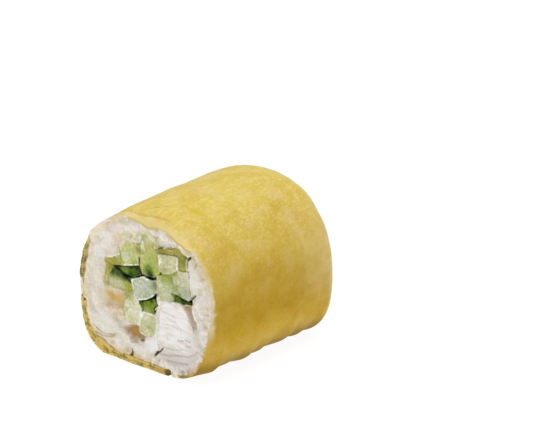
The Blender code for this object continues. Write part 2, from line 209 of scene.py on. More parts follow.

# Each stick's face: its main colour, dabs of other colours as (colour, x, height, reach), how much
# painted highlight its wet rim gets, and how strong its stripes are. Some dabs are painted shade.
FACES = {
    "upper_left": ("C8CA84", (
        ("A8AE50", -2.2, 17.9, 0.9), ("D2D8B0", -4.2, 19.0, 1.1), (OLIVE, -1.3, 20.9, 0.7),
        ("DCCB7C", -5.4, 21.4, 1.0), ("D9CE90", -3.2, 22.1, 0.9), ("B4BA64", -5.2, 17.5, 0.6),
    ), 0.2, 0.2),
    "left_band": ("AAA13C", (("C2B048", -8.7, 17.1, 0.8), ("B4B25C", -5.9, 17.9, 0.7)), 0.1, 0.3),
    "left_shard": ("BFB552", (("A0922C", -8.2, 15.9, 0.7), ("D4CC88", -9.1, 13.7, 0.6)), 0.1, 0.2),
    # The black and near-black dabs are painted shadow in this sunken wedge.
    "dark_wedge": ("4E6C20", (
        (SHADOW_BLACK, -1.4, 17.1, 1.3), ("7A9238", -5.2, 16.2, 0.9), ("365012", -3.6, 15.6, 0.6),
        (SHADOW_BLACK, -3.6, 17.2, 0.5), ("1A2C06", -7.0, 16.2, 0.5),
    ), 0.0, 0.6),
    # Its dark dabs at the bottom are its dark skin, darkened further as painted shade above the
    # crack.
    "round_top": ("BAC264", (
        ("C8C884", -0.4, 19.4, 1.0), ("B8BE6A", 2.4, 20.0, 1.1), ("8CA642", 1.3, 18.1, 1.1),
        ("5C7A1C", 0.8, 17.6, 1.0), ("1C2E0A", 1.3, 16.9, 0.9),
    ), 0.2, 0.2),
    # The white dab at its left edge is a painted highlight.
    "striped": ("D8D3AA", (
        (HIGHLIGHT_AND_SMEAR_WHITE, 3.4, 20.3, 0.5), ("D8D2A6", 7.0, 20.6, 0.8), ("BEBC84", 4.4, 18.6, 0.8),
    ), 0.25, 1.0),
    "top_band": ("AFA34A", (
        ("9A9038", 3.4, 21.8, 0.8), ("C2B868", 5.6, 22.9, 0.8), ("6E7C2C", 9.3, 22.1, 0.7),
    ), 0.05, 0.3),
    "right_band": ("9A9838", (("B4B45C", 8.2, 19.9, 0.7), ("8C8A34", 9.0, 21.3, 0.6)), 0.1, 0.2),
    "top": ("CFC68A", (
        ("C0BA6C", 1.7, 21.9, 0.9), ("DCD2A2", 0.9, 23.6, 0.9), ("B4B468", 0.2, 21.4, 0.6),
    ), 0.1, 0.2),
    "top_shard": ("E6E2B2", (("B0B468", -0.6, 20.5, 0.6), (RICE_CREAM, -0.6, 23.0, 0.8)), 0.1, 0.2),
    "right": ("D0CEAC", (
        ("D6D4B4", 9.0, 18.6, 1.1), ("A8B070", 7.0, 16.2, 1.0), ("B4BC9C", 9.4, 15.9, 1.1),
        ("BEBE80", 7.2, 18.6, 0.8), ("8E9A60", 8.0, 15.2, 0.6),
    ), 0.3, 0.4),
    "middle_right": ("C0C48E", (
        ("A4AE4A", 4.6, 17.7, 1.1), ("CCD0AC", 4.6, 14.8, 1.3), ("D6D8B4", 3.4, 16.0, 0.6),
        ("8E9A40", 6.2, 17.6, 0.7),
    ), 0.35, 0.2),
    # Its olive dab at the right end is painted shade beside the gap.
    "middle": ("C3C8AC", (
        ("85875A", 2.5, 15.5, 0.9), ("B4B894", 0.6, 12.8, 0.9), ("CED2BC", -1.2, 14.6, 1.1),
    ), 0.3, 0.2),
    # Its dark dabs along the top are dark skin with painted shade below the crack.
    "left": ("AEB65C", (
        ("223C06", -7.8, 15.6, 1.1), ("36560A", -6.4, 15.3, 1.0), ("264208", -5.0, 15.1, 0.8),
        ("3A5412", -3.8, 15.0, 0.8), ("D6CDA4", -6.4, 13.0, 1.4), ("A8A83C", -3.6, 13.2, 0.8),
        ("B8A85C", -8.7, 13.3, 0.7), ("D2CCA8", -7.9, 13.4, 0.7),
    ), 0.1, 0.2),
    # Its black dab is painted shadow along the crack above it.
    "right_sliver": ("3C5614", ((SHADOW_BLACK, 8.6, 14.8, 0.8), ("5C7424", 7.2, 13.9, 0.8)), 0.0, 0.4),
    "green_bar": ("7A8E28", (
        ("AAB46C", 0.5, 10.3, 0.7), ("2A400A", -0.9, 11.4, 0.5), ("88983C", 1.9, 11.2, 0.7),
        ("304A0C", 1.2, 12.4, 0.5),
    ), 0.05, 0.4),
    "lower": ("CDCA9C", (
        ("DEDEBA", 0.2, 8.9, 1.0), ("BABC80", 1.2, 7.6, 0.7), ("DAD6AE", 0.6, 6.4, 0.7),
    ), 0.5, 0.2),
    # Its olive dab at the top corner is painted shade.
    "lower_left": ("E8E4C6", (
        ("D2D4A6", -3.3, 11.2, 0.9), ("D8D8A8", -3.0, 8.0, 0.9), ("CED09C", -4.6, 9.4, 0.6),
        ("A59B3E", -3.9, 12.3, 0.9),
    ), 0.3, 0.2),
}

# Places where the rice has stains, and one where it has painted shade: points as (x, height), half
# width and colour.
RICE_STAINS_AND_SHADE = (
    (((-6.3, 18.6), (-6.4, 20.2), (-5.2, 22.0), (-3.0, 22.9), (-0.6, 23.8), (1.0, 24.6),
      (2.6, 24.0), (3.0, 22.8)), 0.8, "D2C27E"),
    (((-0.6, 20.3), (-0.5, 23.0)), 0.7, "CCC88E"),
    (((-6.6, 21.6), (-4.6, 23.2), (-2.4, 24.0)), 0.8, "E6D08C"),
    (((-9.6, 12.6), (-9.9, 14.8), (-9.7, 16.8)), 0.45, "DDD3A0"),
    (((-3.9, 12.4), (-4.9, 11.0), (-5.2, 9.0), (-4.6, 7.2)), 0.5, "D6CC90"),
    (((-8.6, 8.8), (-7.2, 7.8), (-5.8, 8.0)), 1.1, "D8C292"),
    # Painted shade at the dark end of the tan hollow.
    (((-4.4, 5.3), (-3.6, 5.7), (-2.8, 6.1)), 0.5, "B08F4C"),
)

# Lines on the front face: points as (x, height), half width and colour. Dark ones are painted
# shadow in cracks, along joins and under a lump, and bright white ones are painted highlights on wet
# edges.
LINES = (
    (((-7.4, 16.45), (-5.4, 16.85), (-3.0, 17.4), (-1.3, 18.0)), 0.14, SHADOW_BLACK),
    (((-7.3, 16.4), (-5.5, 15.5), (-4.3, 14.95), (-3.4, 14.4)), 0.16, SHADOW_BLACK),
    (((-1.5, 17.9), (-1.1, 17.0), (-0.8, 16.6)), 0.3, SHADOW_BLACK),
    (((-0.8, 16.75), (0.6, 16.45), (1.7, 16.4), (2.5, 16.85)), 0.19, SHADOW_BLACK),
    (((-1.5, 11.55), (0.5, 12.3), (1.75, 13.05), (2.5, 14.0)), 0.14, SHADOW_BLACK),
    (((6.3, 15.05), (8.3, 14.8), (10.25, 14.5)), 0.18, SHADOW_BLACK),
    (((10.2, 14.6), (10.7, 15.4), (11.4, 15.95)), 0.06, "2E2E14"),
    (((-1.5, 11.3), (-0.8, 11.1)), 0.25, "5C7020"),
    (((2.95, 11.5), (2.55, 10.9), (2.5, 10.2)), 0.38, "F0EBE2"),
    (((2.2, 12.6), (3.0, 12.15), (2.2, 11.5), (1.8, 11.1), (2.0, 10.4)), 0.11, "1A2A0A"),
    (((9.55, 21.6), (9.4, 20.6), (9.6, 19.4)), 0.27, "DCD4BE"),
    (((2.3, 22.4), (3.2, 22.85), (4.2, 23.3)), 0.28, "D2CA9A"),
    (((-1.9, 4.8), (-0.9, 4.7)), 0.4, "A08C62"),
    (((-3.2, 4.0), (-2.2, 4.2)), 0.4, "C4B490"),
    (((-9.3, 17.0), (-7.6, 16.35)), 0.09, BROWN),
    (((-3.0, 14.9), (-2.5, 12.9)), 0.08, HIGHLIGHT_AND_SMEAR_WHITE),
    (((-5.9, 20.3), (-5.6, 19.0), (-5.4, 17.8)), 0.1, "8E8C48"),
    (((-1.2, 19.6), (-1.3, 18.2)), 0.1, "2C3E12"),
    (((2.7, 21.4), (7.4, 22.0)), 0.05, "7E8440"),
    (((2.5, 21.9), (3.5, 22.35), (4.7, 22.95), (5.6, 22.7), (6.7, 23.2)), 0.07, "4E4E22"),
    (((-9.3, 17.4), (-7.4, 18.3), (-6.0, 18.95)), 0.08, HIGHLIGHT_AND_SMEAR_WHITE),
    (((-3.0, 15.1), (-1.9, 15.85), (-0.8, 16.25), (0.8, 16.1)), 0.1, HIGHLIGHT_AND_SMEAR_WHITE),
    (((-1.6, 11.95), (0.1, 12.4), (2.1, 13.75)), 0.08, HIGHLIGHT_AND_SMEAR_WHITE),
    (((-5.2, 17.15), (-1.5, 18.25)), 0.08, HIGHLIGHT_AND_SMEAR_WHITE),
    (((-0.4, 9.95), (-1.1, 8.7), (-1.4, 7.2)), 0.11, HIGHLIGHT_AND_SMEAR_WHITE),
    (((3.3, 21.0), (3.4, 19.3)), 0.12, HIGHLIGHT_AND_SMEAR_WHITE),
    (((3.1, 17.6), (3.9, 17.9), (4.9, 18.0), (6.3, 18.4), (7.4, 19.2)), 0.18, "98A03C"),
    (((2.8, 21.0), (2.9, 19.6), (3.0, 18.2)), 0.14, "A8AE58"),
    (((6.45, 18.3), (6.45, 16.0), (6.5, 14.6)), 0.12, "98A468"),
    (((7.4, 21.7), (7.4, 19.8)), 0.07, HIGHLIGHT_AND_SMEAR_WHITE),
    (((10.0, 21.4), (9.8, 19.4), (10.3, 17.2)), 0.12, HIGHLIGHT_AND_SMEAR_WHITE),
    (((10.7, 14.0), (11.3, 12.6), (12.0, 11.0)), 0.1, HIGHLIGHT_AND_SMEAR_WHITE),
    # Painted highlight along a lump's lower edge, then painted shadow under it.
    (((-11.6, 4.9), (-11.2, 4.35), (-10.5, 3.95), (-9.1, 3.8), (-7.4, 4.3)), 0.13, "FDFAEE"),
    (((-11.4, 4.2), (-10.5, 3.65), (-9.1, 3.5), (-7.3, 4.0)), 0.09, "A8965C"),
    (((-1.1, 9.2), (-0.6, 9.8), (0.4, 10.0), (1.7, 9.8)), 0.1, HIGHLIGHT_AND_SMEAR_WHITE),
    (((2.6, 11.4), (2.5, 9.6), (2.5, 7.4), (1.9, 6.1)), 0.08, HIGHLIGHT_AND_SMEAR_WHITE),
    (((-2.3, 12.6), (-1.3, 10.6), (-1.3, 8.9)), 0.07, HIGHLIGHT_AND_SMEAR_WHITE),
    (((-3.6, 24.2), (-2.6, 23.6), (-1.9, 23.5)), 0.12, HIGHLIGHT_AND_SMEAR_WHITE),
    (((-3.0, 25.0), (-2.2, 24.5), (-1.2, 24.3)), 0.1, HIGHLIGHT_AND_SMEAR_WHITE),
    (((3.5, 25.2), (4.1, 24.2), (4.4, 23.7)), 0.1, HIGHLIGHT_AND_SMEAR_WHITE),
    (((5.0, 25.0), (5.4, 24.3), (6.1, 23.9)), 0.09, HIGHLIGHT_AND_SMEAR_WHITE),
    (((6.6, 24.4), (6.9, 23.8)), 0.09, HIGHLIGHT_AND_SMEAR_WHITE),
    (((1.6, 24.9), (2.6, 24.3)), 0.08, HIGHLIGHT_AND_SMEAR_WHITE),
    (((-5.6, 24.2), (-4.6, 24.3), (-3.8, 23.6)), 0.08, HIGHLIGHT_AND_SMEAR_WHITE),
    (((-1.4, 25.6), (-0.4, 25.3), (0.4, 25.5)), 0.08, HIGHLIGHT_AND_SMEAR_WHITE),
    (((2.9, 25.6), (3.6, 24.9)), 0.07, HIGHLIGHT_AND_SMEAR_WHITE),
    (((7.6, 24.6), (8.2, 23.9), (9.0, 23.6)), 0.08, HIGHLIGHT_AND_SMEAR_WHITE),
    (((-10.6, 20.4), (-9.4, 21.6), (-8.2, 22.0)), 0.07, HIGHLIGHT_AND_SMEAR_WHITE),
    (((12.0, 14.6), (12.6, 13.0), (12.4, 11.6)), 0.08, HIGHLIGHT_AND_SMEAR_WHITE),
    (((-7.2, 4.6), (-6.2, 4.9), (-5.2, 4.3), (-4.8, 3.2)), 0.08, HIGHLIGHT_AND_SMEAR_WHITE),
    (((-4.4, 8.2), (-5.6, 7.2), (-7.0, 7.0)), 0.07, HIGHLIGHT_AND_SMEAR_WHITE),
)
# How much such lines vary in width: the painted highlights on wet edges break up.
LINE_BREAKS = 0.4
HIGHLIGHT_BREAKS = 2.0

# Grey marks on the cheese, as such lines; the last, dark one is painted shadow in a crack.
CHEESE_LINES = (
    (((3.6, 3.4), (5.6, 3.7), (8.0, 4.3), (10.0, 4.7), (11.8, 5.8)), 0.16, "E4DFDC"),
    (((4.0, 4.9), (6.2, 4.9), (8.6, 5.6)), 0.1, "EAE6E3"),
    (((4.8, 2.7), (7.0, 2.8), (9.6, 3.2)), 0.14, "E0DAD6"),
    (((7.4, 7.0), (8.5, 7.1)), 0.14, "D8D3D0"),
    (((9.0, 7.5), (10.3, 7.4)), 0.13, "DBD6D2"),
    (((9.2, 6.4), (10.4, 6.6)), 0.1, "E2DCD8"),
    (((4.6, 11.2), (6.8, 11.0)), 0.08, "EEEBE9"),
    (((4.0, 9.0), (6.0, 9.3), (7.6, 9.0)), 0.08, "EEEBE9"),
    # Painted shadow in a crack that runs on from the rice.
    (((2.6, 3.5), (3.3, 3.8), (4.1, 4.6)), 0.13, "4A4030"),
)


def linear(hex_colour):
    """A linear RGBA colour from an sRGB one such as E0C46A."""
    channels = [int(hex_colour[at : at + 2], 16) / 255 for at in (0, 2, 4)]
    return [c / 12.92 if c <= 0.04045 else ((c + 0.055) / 1.055) ** 2.4 for c in channels] + [1]


def smooth(low, high, value):
    """0 below low and 1 above high, with a soft step between them; arrays work too."""
    share = np.clip((value - low) / (high - low), 0.0, 1.0)
    return share * share * (3 - 2 * share)


def tinted(colours, hex_colour, share):
    """An array of colours, mixed towards one colour by an array of shares."""
    return colours + (np.array(linear(hex_colour)) - colours) * np.asarray(share)[..., None]


def clamp(value, most=1.0):
    return min(max(value, 0.0), most)


def near_angle(angle, middle, spread):
    """1 at an angle round the roll, and less the further from it."""
    return math.exp(-(((angle % math.tau - middle) / spread) ** 2))


def to_front(along, reach):
    """1 at the front cut, falling to 0 at a reach behind it."""
    return max(0.0, 1 - (along + HALF_LENGTH) / reach)


def round_value(angle, degrees, values):
    """The value of a table at an angle round the roll."""
    return np.interp(math.degrees(angle) % 360, degrees, values)


def noise_at(points, size, seed=0.0):
    """Smooth noise from about -1 to 1, of a real feature size, at an array of points."""
    shift = Vector((seed, 1.7 * seed, -2.3 * seed))
    flat = points.reshape(-1, 3) / size
    return np.array([noise.noise(Vector(p) + shift) for p in flat]).reshape(points.shape[:-1])


def offsets(x, z, start, end):
    """How far places lie from the nearest place of a segment, across and up."""
    (x0, z0), (x1, z1) = start, end
    ex, ez = x1 - x0, z1 - z0
    wx, wz = x - x0, z - z0
    share = np.clip((wx * ex + wz * ez) / (ex * ex + ez * ez), 0, 1)
    return wx - share * ex, wz - share * ez


def polygon_distance(x, z, outline):
    """Signed distance to a closed outline, negative inside."""
    nearest = np.full(x.shape, 1.0)
    inside = np.zeros(x.shape, bool)
    for start, end in zip(outline, np.roll(outline, -1, axis=0)):
        across, upright = offsets(x, z, start, end)
        nearest = np.minimum(nearest, across**2 + upright**2)
        (x0, z0), (x1, z1) = start, end
        if z0 != z1:
            crosses = (z0 <= z) != (z1 <= z)
            inside ^= crosses & (x - x0 < (z - z0) * (x1 - x0) / (z1 - z0))
    return np.where(inside, -1, 1) * np.sqrt(nearest)


def line_distance(x, z, corners_mm):
    """Distance to a line through corners on the cut face."""
    corners = np.array(corners_mm) * MM
    segments = zip(corners, corners[1:])
    return np.min([np.hypot(*offsets(x, z, *segment)) for segment in segments], axis=0)


def on_plane(x, z):
    """Places on the cut face as points, for noise that is the same all along the roll."""
    return np.stack([x, z, np.zeros_like(x)], axis=-1)


def on_front(y):
    """1 at the front cut face, and 0 further back in the roll."""
    return smooth(-8 * MM, -12 * MM, y)


def draw_lines(points, colours, lines, inner=0.6):
    """Paints lines of the front face over colours, full as far as inner half widths."""
    x, y, z = np.moveaxis(points, -1, 0)
    uneven = noise_at(points, 0.6 * MM, seed=8)
    for corners, half_width, colour in lines:
        breaks = HIGHLIGHT_BREAKS if colour == HIGHLIGHT_AND_SMEAR_WHITE else LINE_BREAKS
        reach = half_width * MM * np.maximum(1 + breaks * uneven, 0.1)
        share = smooth(1.5, inner, line_distance(x, z, corners) / reach)
        colours = tinted(colours, colour, share * on_front(y))
    return colours


# -------- the roll's outline


def outline_radius(angle, along):
    across, upright = abs(math.cos(angle)), abs(math.sin(angle))
    if math.sin(angle) >= 0:
        reach, power = TOP_REACH, TOP_POWER
    else:
        reach = LOW_REACH
        power = LOW_POWER_RIGHT if math.cos(angle) > 0 else LOW_POWER_LEFT
    radius = ((across / HALF_WIDTH) ** power + (upright / reach) ** power) ** (-1 / power)
    crown = CROWN * max(0.0, math.sin(angle)) * (1 - (2 * along / ROLL_LENGTH) ** 2)
    slump = SLUMP * clamp(0.5 - along / ROLL_LENGTH) ** 2
    return radius + crown - slump * near_angle(angle, SLUMP_ANGLE, SLUMP_SPREAD)


# The cut's edge stands out past the even skin or turns in behind it, in millimetres, at angles
# round the roll in degrees. Over the top it turns in twice, and the sheet hangs over the rice there.
BULGE_ANGLES = (0, 9, 30, 40, 46, 51, 57, 61, 66, 71, 76, 80, 86, 92, 98, 104, 110, 122, 135, 145,
                155, 185, 200, 212, 222, 232, 242, 252, 262, 270, 280, 290, 300, 306, 314, 324,
                340, 352, 360)
BULGE_HEIGHTS = (-0.2, 0.3, 0.4, 0.3, 0.1, -0.3, -0.6, -0.6, -0.4, -0.6, -0.6, -0.6, -0.7, -0.8, -0.5,
                 0, 0.1, 0.25, 0.5, 0.6, 0.3, 0.45, 0.3, 0.4, 0.55, 0.7, 0.85, 0.95, 0.7, 0.5,
                 0.3, 0.3, 0.5, 0.6, 0.3, -0.3, -0.4, -0.3, -0.2)
BULGE_LENGTH = 4.5 * MM


def skin_radius(angle, along):
    radius = outline_radius(angle, along)
    round_the_roll = Vector((radius * math.cos(angle), along, radius * math.sin(angle)))
    lump = LUMP * noise.noise(round_the_roll / LUMP_SIZE)
    to_end = max(0.0, 1 - (HALF_LENGTH - abs(along)) / END_TUCK_LENGTH)
    on_top = TOP_TUCK * near_angle(angle, TOP_TUCK_ANGLE, TOP_TUCK_SPREAD) if along < 0 else 0.0
    near = to_front(along, BULGE_LENGTH)
    bulge = round_value(angle, BULGE_ANGLES, BULGE_HEIGHTS) * MM * near * near
    return radius + (lump - (END_TUCK + on_top) * to_end**2.5) + bulge


def lap_depth(turned):
    """How far the rolled sheet lies inside the skin, after turning so far from its inner edge."""
    ease = clamp((turned - LAP_ANGLE) / LAP_BLEND)
    return (SHEET + LAP_GAP) * (1 - ease * ease * (3 - 2 * ease))


# How thick the sheet's cut edge shows at the front, in millimetres, at angles round the roll in
# degrees: the knife spread it wide at the left and at the lower left.
RIM_ANGLES = (0, 146, 154, 162, 171, 179, 185, 194, 204, 212, 220, 227, 233, 240, 360)
RIM_WIDTHS = (0.5, 0.5, 0.8, 1.25, 1.4, 1.0, 0.6, 0.5, 0.75, 1.2, 1.7, 2.0, 1.4, 0.6, 0.5)
RIM_SPREAD_LENGTH = 2.0 * MM
LAST_TURN_BLEND = 0.3  # radians
# Where rice was dragged over the sheet's edge, from 0 to 1, at such angles.
COVER_ANGLES = (0, 12, 43, 49, 65, 70, 77, 83, 104, 110, 142, 151, 179, 184, 190, 196, 293, 296,
                300, 303, 312, 318, 350, 360)
COVER_SHARES = (0.8, 1, 1, 0.1, 0.1, 0.5, 0.4, 0.1, 0.1, 0.9, 1, 0, 0, 0.8, 0.8, 0, 0, 0.9,
                0.9, 0, 0, 0.3, 0.3, 0.8)
BACK_COVER = 0.4
COVER_DEPTH = 0.5 * MM
LIP_LENGTH = 0.5 * MM  # the dragged rice lies on the sheet's outer face this far
LIP_HEIGHT = 0.09 * MM


def sheet_thickness(turned, along):
    """The sheet's thickness; its last turn, under the roll, isn't spread by the knife."""
    spread = round_value(LAP_START + turned, RIM_ANGLES, RIM_WIDTHS) * MM - SHEET
    last_turn = clamp((turned - math.tau) / LAST_TURN_BLEND + 1) if turned > math.pi else 0.0
    return SHEET + spread * to_front(along, RIM_SPREAD_LENGTH) ** 1.5 * (1 - last_turn)


def sheet_depth(angle, along):
    """Depth of the sheet's innermost face at an angle round the roll."""
    turned = (angle - LAP_START) % math.tau
    at_inner_edge = clamp(1.5 - (math.tau - turned) / INNER_EDGE_GAP)
    lapped = max(lap_depth(turned), (SHEET + LAP_GAP) * at_inner_edge)
    return lapped + sheet_thickness(turned, along)


def rice_cover(angle, end):
    """How fully rice hides the sheet's edge at an angle, at the front (-1) or the back (1)."""
    place = Vector((2.5 * math.cos(angle), end, 2.5 * math.sin(angle)))
    ragged = 0.35 * noise.noise(2.2 * place) + 0.2 * noise.noise(6 * place)
    share = round_value(angle, COVER_ANGLES, COVER_SHARES) if end < 0 else BACK_COVER
    return clamp(share * (1.0 + ragged), 1.3)


# -------- meshes from arrays


def add_object(name, data):
    obj = bpy.data.objects.new(name, data)
    bpy.context.scene.collection.objects.link(obj)
    return obj


def mesh_object(name, points, faces):
    mesh = bpy.data.meshes.new(name)
    mesh.from_pydata(points.reshape(-1, 3).tolist(), [], faces)
    mesh.update()
    mesh.shade_smooth()
    return add_object(name, mesh)


def paint(obj, colours):
    """Stores a colour for each vertex, which the materials read as tint."""
    layer = obj.data.color_attributes.new("tint", "FLOAT_COLOR", "POINT")
    layer.data.foreach_set("color", np.ascontiguousarray(colours, np.float32).reshape(-1))


def ring_faces(rings, around, closed=True):
    """Quads between rings of points that are numbered ring after ring."""
    faces = []
    last = around if closed else around - 1
    for ring in range(rings - 1):
        row = ring * around
        for at in range(last):
            after = (at + 1) % around
            faces.append((row + at, row + after, row + around + after, row + around + at))
    return faces


# -------- the sheet

SHEET_AROUND = 380
SHEET_ROWS = 112
INNER_ROWS = 14
RIM_ROWS = 4
GRAIN_PRINT = 0.08 * MM  # the rice grains show through the sheet
WRINKLE = 0.06 * MM
WRINKLE_WIDTH = 1.0 * MM
ARC_WIDTH = 0.8 * MM  # wrinkles round the roll, towards its far end
ARC_START = 6 * MM
ARC_BLEND = 8 * MM
ROUGH_EDGE = 0.35 * MM  # the cut edge is ragged low down and at the left
ROUGH_SIZE = 1.3 * MM
ROUGH_LENGTH = 1.5 * MM
GRIT = 0.06 * MM  # on the cut edge itself
GRIT_SIZE = 0.45 * MM
MEAN_RADIUS = 14 * MM
PRINT_SIZE = 2.6 * MM
WRINKLED_ANGLE = math.radians(118)
WRINKLED_SPREAD = math.radians(30)
# The sheet hangs in slack waves low on the right: millimetres along the roll, and outwards.
SAG_ANGLE = math.radians(325)
SAG_SPREAD = math.radians(20)
SAG_ALONG = (-15.6, -14, -12, -10, -8, -6, -4, -2, 0, 2, 4, 6, 8, 10, 12, 14, 15.6)
SAG_OUT = (-0.12, 0, 0.6, 0.23, 0.3, 0.16, 0.66, 0.2, 0.34, -0.07, 0.18, 0.33, -0.23, 0.22,
           -0.08, 0.24, 0)
# Creases where the sheet bends down at the front: points as (degrees round the roll, millimetres
# along it), half width and depth in millimetres.
CREASES = (
    (((117, -13.9), (103, -14.4), (97, -14.5), (88, -14.3), (81, -14.2), (73, -13.8)), 0.16, 0.16),
    (((100, -13.6), (95, -12.7), (90.5, -11.8), (86, -10.1)), 0.14, 0.1),
    (((112, -10.5), (106, -8.0), (104, -5.5)), 0.14, 0.08),
    (((118, -12.2), (113, -11.4), (109, -10.6)), 0.16, 0.1),
)
STAIN = ((70, -8.2), 1.5)  # a small yellower place: (degrees, millimetres along), reach
MM_PER_DEGREE = 0.25


def sheet_relief(angle, along):
    """Height of the sheet's own surface above the smooth skin."""
    place = Vector((MEAN_RADIUS * math.cos(angle), along, MEAN_RADIUS * math.sin(angle)))
    prints = GRAIN_PRINT * noise.noise(place / PRINT_SIZE)
    along_roll = Vector((place.x, 0.18 * place.y, place.z)) / WRINKLE_WIDTH
    upper_left = near_angle(angle, WRINKLED_ANGLE, WRINKLED_SPREAD)
    wrinkles = WRINKLE * noise.noise(along_roll) * (0.25 + upper_left)
    round_roll = Vector((0.2 * place.x, place.y, 0.2 * place.z)) / ARC_WIDTH
    arcs = WRINKLE * noise.noise(round_roll) * clamp((along - ARC_START) / ARC_BLEND)
    lower = max(0.0, -math.cos(angle) - 0.35 * math.sin(angle))
    at_cut = to_front(along, ROUGH_LENGTH) ** 2
    rough = ROUGH_EDGE * noise.noise(place / ROUGH_SIZE) * at_cut * lower
    waves = np.interp(along / MM, SAG_ALONG, SAG_OUT) * MM * near_angle(angle, SAG_ANGLE, SAG_SPREAD)
    return prints + wrinkles + arcs + waves + rough


def sheet_point(turned, along, inwards):
    """A point of the sheet: inwards 0 is its outer face and 1 its inner face."""
    angle = LAP_START + turned
    relief = sheet_relief(angle, along) * (1 - inwards)
    depth = lap_depth(turned) + inwards * sheet_thickness(turned, along)
    radius = skin_radius(angle, along) - depth + relief
    z = AXIS_HEIGHT + radius * math.sin(angle)
    return (radius * math.cos(angle), along, max(z, depth))


def crease_share(angles, along):
    """From 0 to 1 in the creases, where the sheet's material paints shade, and how far they sink the
    sheet.
    """
    share, sunk = np.zeros(along.shape), np.zeros(along.shape)
    around = np.degrees(angles) % 360 * MM_PER_DEGREE * MM
    for corners, half_width, depth in CREASES:
        line = [(degrees * MM_PER_DEGREE, y) for degrees, y in corners]
        past = line_distance(around, along, line) / (half_width * MM)
        inside = np.exp(-(past**2))
        share = np.maximum(share, inside)
        sunk = np.maximum(sunk, depth * MM * inside)
    return share, sunk


def stain_share(angles, along):
    (degrees, y), reach = STAIN
    around = (np.degrees(angles) % 360 - degrees) * MM_PER_DEGREE
    return smooth(reach, 0.2 * reach, np.hypot(0.7 * around, along / MM - y))


def sheet_half_length(angle, end):
    place = Vector((3 * math.cos(angle), end, 3 * math.sin(angle)))
    wave = noise.noise(place) + 0.35 * noise.noise(4 * place)
    return HALF_LENGTH + EDGE_WAVE * (wave - 0.5) - COVER_DEPTH * rice_cover(angle, end)


def sheet_rows():
    """Each row's place: its share of the half length, and how far inwards, round both faces."""
    outer = [(math.sin(share * math.pi / 2), 0.0) for share in np.linspace(-1, 1, SHEET_ROWS)]
    rim_back = [(1.0, inwards) for inwards in np.linspace(0, 1, RIM_ROWS + 2)[1:-1]]
    inner = [(math.sin(share * math.pi / 2), 1.0) for share in np.linspace(1, -1, INNER_ROWS)]
    rim_front = [(-1.0, inwards) for inwards in np.linspace(1, 0, RIM_ROWS + 2)[1:-1]]
    return outer + rim_back + inner + rim_front


def sheet_points(rows, turns):
    points = []
    for share, inwards in rows:
        for turned in turns:
            along = share * sheet_half_length(LAP_START + turned, math.copysign(1, share))
            x, y, z = sheet_point(turned, along, inwards)
            if 0 < inwards < 1:
                grit = Vector((x, z, 7 * inwards * MM)) / GRIT_SIZE
                y += GRIT * noise.noise(grit)
            points.append((x, y, z))
    return np.array(points).reshape(len(rows), len(turns), 3)


def sheet_faces(count):
    """Quads round the sheet's section, and its two straight edges closed with one face each."""
    faces = ring_faces(count, SHEET_AROUND, closed=False)
    closing = (count - 1) * SHEET_AROUND
    for at in range(SHEET_AROUND - 1):
        faces.append((closing + at, closing + at + 1, at + 1, at))
    edges = [[row * SHEET_AROUND + at for row in range(count)] for at in (0, SHEET_AROUND - 1)]
    faces.append(tuple(edges[0]))
    faces.append(tuple(reversed(edges[1])))
    return [face[::-1] for face in faces]


def give_rims_their_material(wrapper, count):
    rims = set(range(SHEET_ROWS, SHEET_ROWS + RIM_ROWS + 1))
    rims |= set(range(count - RIM_ROWS - 1, count))
    for face in wrapper.data.polygons:
        if any(v // SHEET_AROUND in rims for v in face.vertices):
            face.material_index = 1


def make_wrapper():
    turns = np.linspace(0, math.tau + LAP_ANGLE, SHEET_AROUND)
    rows = sheet_rows()
    points = sheet_points(rows, turns)
    angles = np.broadcast_to(LAP_START + turns, points.shape[:2])
    outside = np.array([[1.0 - inwards] for _, inwards in rows])
    crease_shade, sunk = crease_share(angles, points[..., 1])
    sunk *= outside
    points -= sunk[..., None] * np.stack([np.cos(angles), 0 * angles, np.sin(angles)], axis=-1)
    recoloured = stain_share(angles, points[..., 1])
    wrapper = mesh_object("rolled_sheet", points, sheet_faces(len(rows)))
    wrapper.data.materials.append(sheet_material())
    wrapper.data.materials.append(rim_material())
    outermost = outside * np.where(turns < LAP_ANGLE, 0.4, 1.0)
    paint(wrapper, np.stack([outermost, crease_shade, recoloured, np.ones_like(recoloured)], axis=-1))
    give_rims_their_material(wrapper, len(rows))
    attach(wrapper, "root")
    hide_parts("wrapper")


# -------- sticks and cheese


def even_outline(points, count):
    """The same closed outline with points at even distances."""
    closed = np.vstack([points, points[:1]])
    steps = np.hypot(*np.diff(closed, axis=0).T)
    travelled = np.concatenate([[0], np.cumsum(steps)])
    at = np.linspace(0, travelled[-1], count, endpoint=False)
    return np.stack([np.interp(at, travelled, closed[:, k]) for k in (0, 1)], axis=1)


def outward(outline):
    """Unit vectors out of an anticlockwise outline, one for each point."""
    along = np.roll(outline, -1, axis=0) - np.roll(outline, 1, axis=0)
    return np.stack([along[:, 1], -along[:, 0]], axis=1) / np.hypot(*along.T)[:, None]


def cut_corners(points, share, times):
    for _ in range(times):
        after = np.roll(points, -1, axis=0)
        pairs = [(1 - share) * points + share * after, share * points + (1 - share) * after]
        points = np.stack(pairs, axis=1).reshape(-1, 2)
    return points


def rough_outline(points, wobble, size, count):
    """Points at even distances along an outline, pushed in and out a little."""
    even = even_outline(points, count)
    push = wobble * noise_at(on_plane(*even.T), size, seed=points[0, 0] / MM)
    return even + outward(even) * push[:, None]


def stick_outline(name):
    """A stick's outline on the cut face, anticlockwise as seen from -Y, in metres."""
    rounded = cut_corners(np.array(STICKS[name][0]) * MM, CORNER_CUT, 2)
    return rough_outline(rounded, STICK_WOBBLE, STICK_WOBBLE_SIZE, STICK_POINTS)


